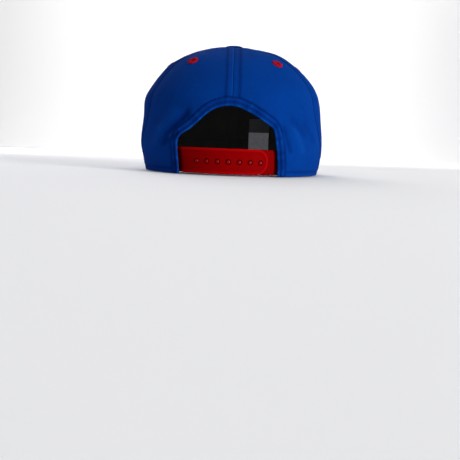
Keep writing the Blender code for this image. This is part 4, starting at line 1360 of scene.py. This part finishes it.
def make_stud_strap():
    """The inner strap with its domed studs."""
    first = stud_arc(STUD_COUNT - 1) + STRAP_TAIL
    last = -(half_opening_arc() + STRAP_TUCK)
    points, faces, _ = flat_strap([(arc, 1.0) for arc in np.linspace(first, last, 150)], 0.0)
    # The inner strap's darker red is painted shade
    add_piece("studded_strap", bend_strap(points, under_inset), faces, SHADED_UNDER_RED, "stud_strap")
    top = PIECE_GAP + STRAP_THICKNESS + STUD_PROUD
    profile = dome(STUD_RADIUS, top, STUD_DOME, 0.05, 9)
    profile += [
        (STUD_RADIUS * 0.97, top - 0.0013),
        (STUD_RADIUS * 0.86, top - 0.0016),
        (STUD_RADIUS * 0.86, -0.0002),
    ]
    turns = np.linspace(0, 2 * np.pi, 28, endpoint=False)
    stud, stud_faces = swept(np.stack([circle(radius, turns, height) for radius, height in profile]))
    parts = []
    for index in range(STUD_COUNT):
        angle = float(angle_at_arc(stud_arc(index)))
        turn = np.array(standing(angle, level_at(STRAP_MIDDLE))).T
        parts.append((stud @ turn + band_point(angle, STRAP_MIDDLE, UNDER_STRAP_INSET), stud_faces))
    add_piece("strap_studs", *join_parts(parts), STUD_RED)


def inner_band(name, angles, heights, inset, thickness, surface, node, edge, pattern_start=0.0):
    """A band of cloth inside the crown between two angles and two heights.

    Its inset and thickness are sizes, or arrays with a row for each height."""
    angle, height = np.meshgrid(angles, heights)
    depth = np.broadcast_to(inset, angle.shape)
    level = level_at(height)
    outer, inner = over_crown(angle, level, -depth), over_crown(angle, level, -depth - thickness)
    uv = together(angle * metres_per_degree(angle, level), height - pattern_start)
    points, faces, uv = closed_sheet(outer, inner, edge, uv)
    add_piece(name, points, faces, surface, node, uv)


def make_inside():
    first = float(seam_angles(0.0)[2])
    angles = np.linspace(first, 360.0 - first, 120)
    heights = np.linspace(LINING_BOTTOM, LINING_TOP, 60)
    inner_band("stiff_front_lining", angles, heights, LINING_INSET, LINING_THICKNESS,
               BLACK_CLOTH, "front_lining", LINING_EDGE)

    end = float(angle_at_arc(half_opening_arc() + SWEATBAND_SETBACK + SWEATBAND_EASE))
    angles = np.linspace(end, 360.0 - end, 330)
    heights = np.linspace(SWEATBAND_BOTTOM + SWEATBAND_EDGE, SWEATBAND_TOP - SWEATBAND_EDGE, 36)
    angle, height = np.meshgrid(angles, heights)
    share = (height - SWEATBAND_BOTTOM) / (SWEATBAND_TOP - SWEATBAND_BOTTOM)
    padding = SWEATBAND_PUFF * np.sin(np.pi * np.clip(share, 0, 1)) ** 0.6
    padding = padding - SWEATBAND_DIP * bump(height - SWEATBAND_TOP + SWEATBAND_ROW, SWEATBAND_DIP_WIDTH)
    uneven = lane_noise(angle / SWEATBAND_UNEVEN_DEGREES, height / SWEATBAND_UNEVEN_HEIGHT, seed=41)
    thickness = SWEATBAND_THICKNESS - 2 * SWEATBAND_SLACK + padding + SWEATBAND_UNEVEN * uneven
    inner_band("folded_sweatband", angles, heights, SWEATBAND_INSET + SWEATBAND_SLACK, thickness,
               BLACK_CLOTH, "sweatband", SWEATBAND_EDGE)

    ends = LABEL_OFF_MIDDLE + LABEL_WIDTH * np.array((-0.5, 0.5))
    near, far = 180.0 + np.degrees(np.arcsin(ends / CROWN_HALF_WIDTH))
    heights = np.linspace(LABEL_BOTTOM, LABEL_TOP, 40)
    at_top = LINING_INSET + LINING_THICKNESS + PIECE_GAP
    at_band = SWEATBAND_INSET + SWEATBAND_THICKNESS + PIECE_GAP + LABEL_STAND
    share = smoothstep((heights - SWEATBAND_TOP + LABEL_STEP_BELOW) / (LABEL_TOP - SWEATBAND_TOP))
    inset = at_band + (at_top - at_band) * share[:, None]
    inner_band("plain_label", np.linspace(near, far, 26), heights, inset, LABEL_THICKNESS - LABEL_SLACK,
               LABEL, "inner_label", LABEL_EDGE, LABEL_BOTTOM)


def make_tapes():
    """Black tapes over the seams inside the crown, each a little deeper than the one before."""
    starts = (arch_top_level() + TAPE_ABOVE_ARCH, *TAPE_START_LEVELS)
    shares = np.linspace(-1.0, 1.0, 11)
    parts, uvs = [], []
    for (side, _), seam in itertools.product(SIDES, range(4)):
        if side < 0 and seam in (0, 3):
            continue
        level = np.linspace(starts[seam], TAPE_TOP_LEVEL, 110)[:, None]
        centre = side * seam_angles(level)[seam]
        scale = metres_per_degree(centre, level)
        half = np.minimum(TAPE_WIDTH / 2, TAPE_REACH * scale)
        angle = centre + shares * half / scale
        carrier = PANEL_THICKNESS if seam < 2 else LINING_INSET + LINING_THICKNESS
        lift = soft_relief(angle, level) - carrier - TAPE_CLEARANCE - TAPE_STACKING * len(parts)
        sag = TAPE_SAG * bump(shares, TAPE_SAG_SHARE)
        outer, inner = over_crown(angle, level, lift), over_crown(angle, level, lift - TAPE_THICKNESS - sag)
        uv = together(shares * half, meridian(level))
        points, faces, uv = closed_sheet(outer, inner, TAPE_EDGE, uv)
        parts.append((points, faces))
        uvs.append(uv)
    add_piece("seam_tapes", *join_parts(parts), BLACK_CLOTH, None, np.concatenate(uvs))


def peak_frame(across):
    """The peak's inner and outer ends at places across it, from -1 to 1."""
    rim = 180.0 - across * PEAK_HALF_ANGLE
    inner = band_point(rim, np.zeros_like(across), np.full_like(across, PANEL_THICKNESS))
    turn = np.radians(PEAK_END_TURN * across)
    power = 2 / PEAK_SQUARENESS
    reach = np.where(np.cos(turn) > 0, PEAK_REACH - PEAK_WIDEST_AHEAD, -PEAK_HOOK_LENGTH)
    edge_x = np.copysign(PEAK_HALF_WIDTH * np.abs(np.sin(turn)) ** power, across)
    edge_y = -PEAK_WIDEST_AHEAD - reach * np.abs(np.cos(turn)) ** power
    return inner[:, :2], together(edge_x, edge_y)


def make_peak():
    """A board between two layers of twill, with rows of stitches that follow its edge."""
    inner, outer = peak_frame(np.linspace(-1.0, 1.0, 211))
    outer = outer - unit(outer - inner) * PEAK_EDGE_ROUND
    share = np.linspace(0.0, 1.0, 79)[:, None, None]
    flat = inner[None] * (1 - share) + outer[None] * share
    _, line = peak_frame(np.linspace(-1.0, 1.0, 900))
    away = np.stack([distance_to(line, row) for row in flat])
    reaches = [PEAK_FIRST_ROW + PEAK_ROW_PITCH * number for number in range(PEAK_ROWS)]
    relief = waves(np.insert(flat, 2, 0.0, axis=-1), PEAK_WAVES) - PEAK_SLACK
    for reach in reaches:
        relief -= PEAK_GROOVE * bump(away - reach, PEAK_GROOVE_WIDTH)
    low = peak_underside(flat[..., 0])
    top = np.dstack((flat, low + PEAK_THICKNESS + relief))
    bottom = np.dstack((flat, low + PEAK_SLACK - np.minimum(relief, 0.0)))
    bulge = np.zeros(away.shape)
    bulge[-1] = PEAK_EDGE_ROUND
    points, faces, uv = closed_sheet(top, bottom, bulge, flat, steps=6)
    add_piece("twill_peak", points, faces, TWILL, "peak", uv)

    tangent = unit(np.gradient(line, axis=0))
    inwards = together(-tangent[:, 1], tangent[:, 0])
    parts = []
    for reach in reaches:
        moved = line + inwards * reach
        rim = crown_surface(np.degrees(np.arctan2(moved[:, 0], moved[:, 1])), 0.0)
        outside = np.linalg.norm(moved, axis=-1) > np.linalg.norm(rim[:, :2], axis=-1) + PEAK_BARE
        run = moved[outside & (distance_to(line, moved) > reach - PEAK_ROW_SLACK)]
        for height, up in ((PEAK_THICKNESS - PEAK_ROW_SINK, 1.0), (PEAK_ROW_SINK, -1.0)):
            spots = np.column_stack((run, peak_underside(run[:, 0]) + height))
            parts.append(stitch_row(spots, np.tile((0.0, 0.0, up), (len(run), 1))))
    add_piece("peak_stitches", *join_parts(parts), BLUE_THREAD)


def make_stage():
    """A pale floor that curves up into a backdrop."""
    profile = [(FLOOR_NEAR, 0.0), (FLOOR_FAR, 0.0)]
    for turn in np.linspace(0.0, math.pi / 2, 16):
        profile.append((FLOOR_FAR - FLOOR_CURVE * math.sin(turn), FLOOR_CURVE * (1 - math.cos(turn))))
    profile.append((FLOOR_FAR - FLOOR_CURVE, BACKDROP_TOP))
    points = [(x, y, z - FLOOR_DROP) for y, z in profile for x in (-FLOOR_HALF_WIDTH, FLOOR_HALF_WIDTH)]
    faces = [(2 * row, 2 * row + 1, 2 * row + 3, 2 * row + 2) for row in range(len(profile) - 1)]
    mesh = bpy.data.meshes.new("studio_floor")
    mesh.from_pydata(points, [], faces)
    mesh.shade_smooth()
    paper = Nodes("pale_paper")
    paper.set(Base_Color=PAPER_COLOUR, Roughness=0.9)
    mesh.materials.append(paper.material)
    add_object("studio_floor", mesh)


def light_scene():
    world = bpy.data.worlds.new("soft_room")
    world.use_nodes = True
    background = world.node_tree.nodes["Background"]
    background.inputs["Color"].default_value = ROOM_COLOUR
    background.inputs["Strength"].default_value = ROOM_LIGHT
    bpy.context.scene.world = world
    bpy.context.scene.view_settings.view_transform = "Standard"
    for lamp in LAMPS:
        data = bpy.data.lights.new(lamp.name, "AREA")
        data.shape = "DISK"
        data.size = lamp.size
        data.energy = lamp.power
        data.color = lamp.colour
        thing = add_object(lamp.name, data)
        thing.location = lamp.location
        thing.rotation_mode = "QUATERNION"
        thing.rotation_quaternion = (Vector(lamp.target) - Vector(lamp.location)).to_track_quat("-Z", "Y")


def make_camera():
    """At the photograph's place behind the cap, a little above the floor."""
    pitch, roll = math.radians(CAMERA_PITCH), math.radians(CAMERA_ROLL)
    right = Vector((-1.0, 0.0, 0.0))
    forward = Vector((0.0, -math.cos(pitch), -math.sin(pitch)))
    up = Vector((0.0, -math.sin(pitch), math.cos(pitch)))
    across = right * math.cos(roll) + up * math.sin(roll)
    above = up * math.cos(roll) - right * math.sin(roll)
    data = bpy.data.cameras.new("photo_camera")
    data.sensor_width = CAMERA_SENSOR
    data.lens = CAMERA_LENS
    data.clip_start, data.clip_end = CAMERA_RANGE
    camera = add_object("photo_camera", data)
    camera.rotation_mode = "QUATERNION"
    camera.rotation_quaternion = Matrix((across, above, -forward)).transposed().to_quaternion()
    camera.location = (CAMERA_SIDE, FRAME_Y + CAMERA_DISTANCE, CAMERA_HEIGHT)
    bpy.context.scene.camera = camera


def main():
    make_panels()
    make_binding()
    make_stitches()
    make_eyelets()
    make_button()
    make_snap_strap()
    make_stud_strap()
    make_inside()
    make_tapes()
    make_peak()
    make_stage()
    light_scene()
    make_camera()


main()
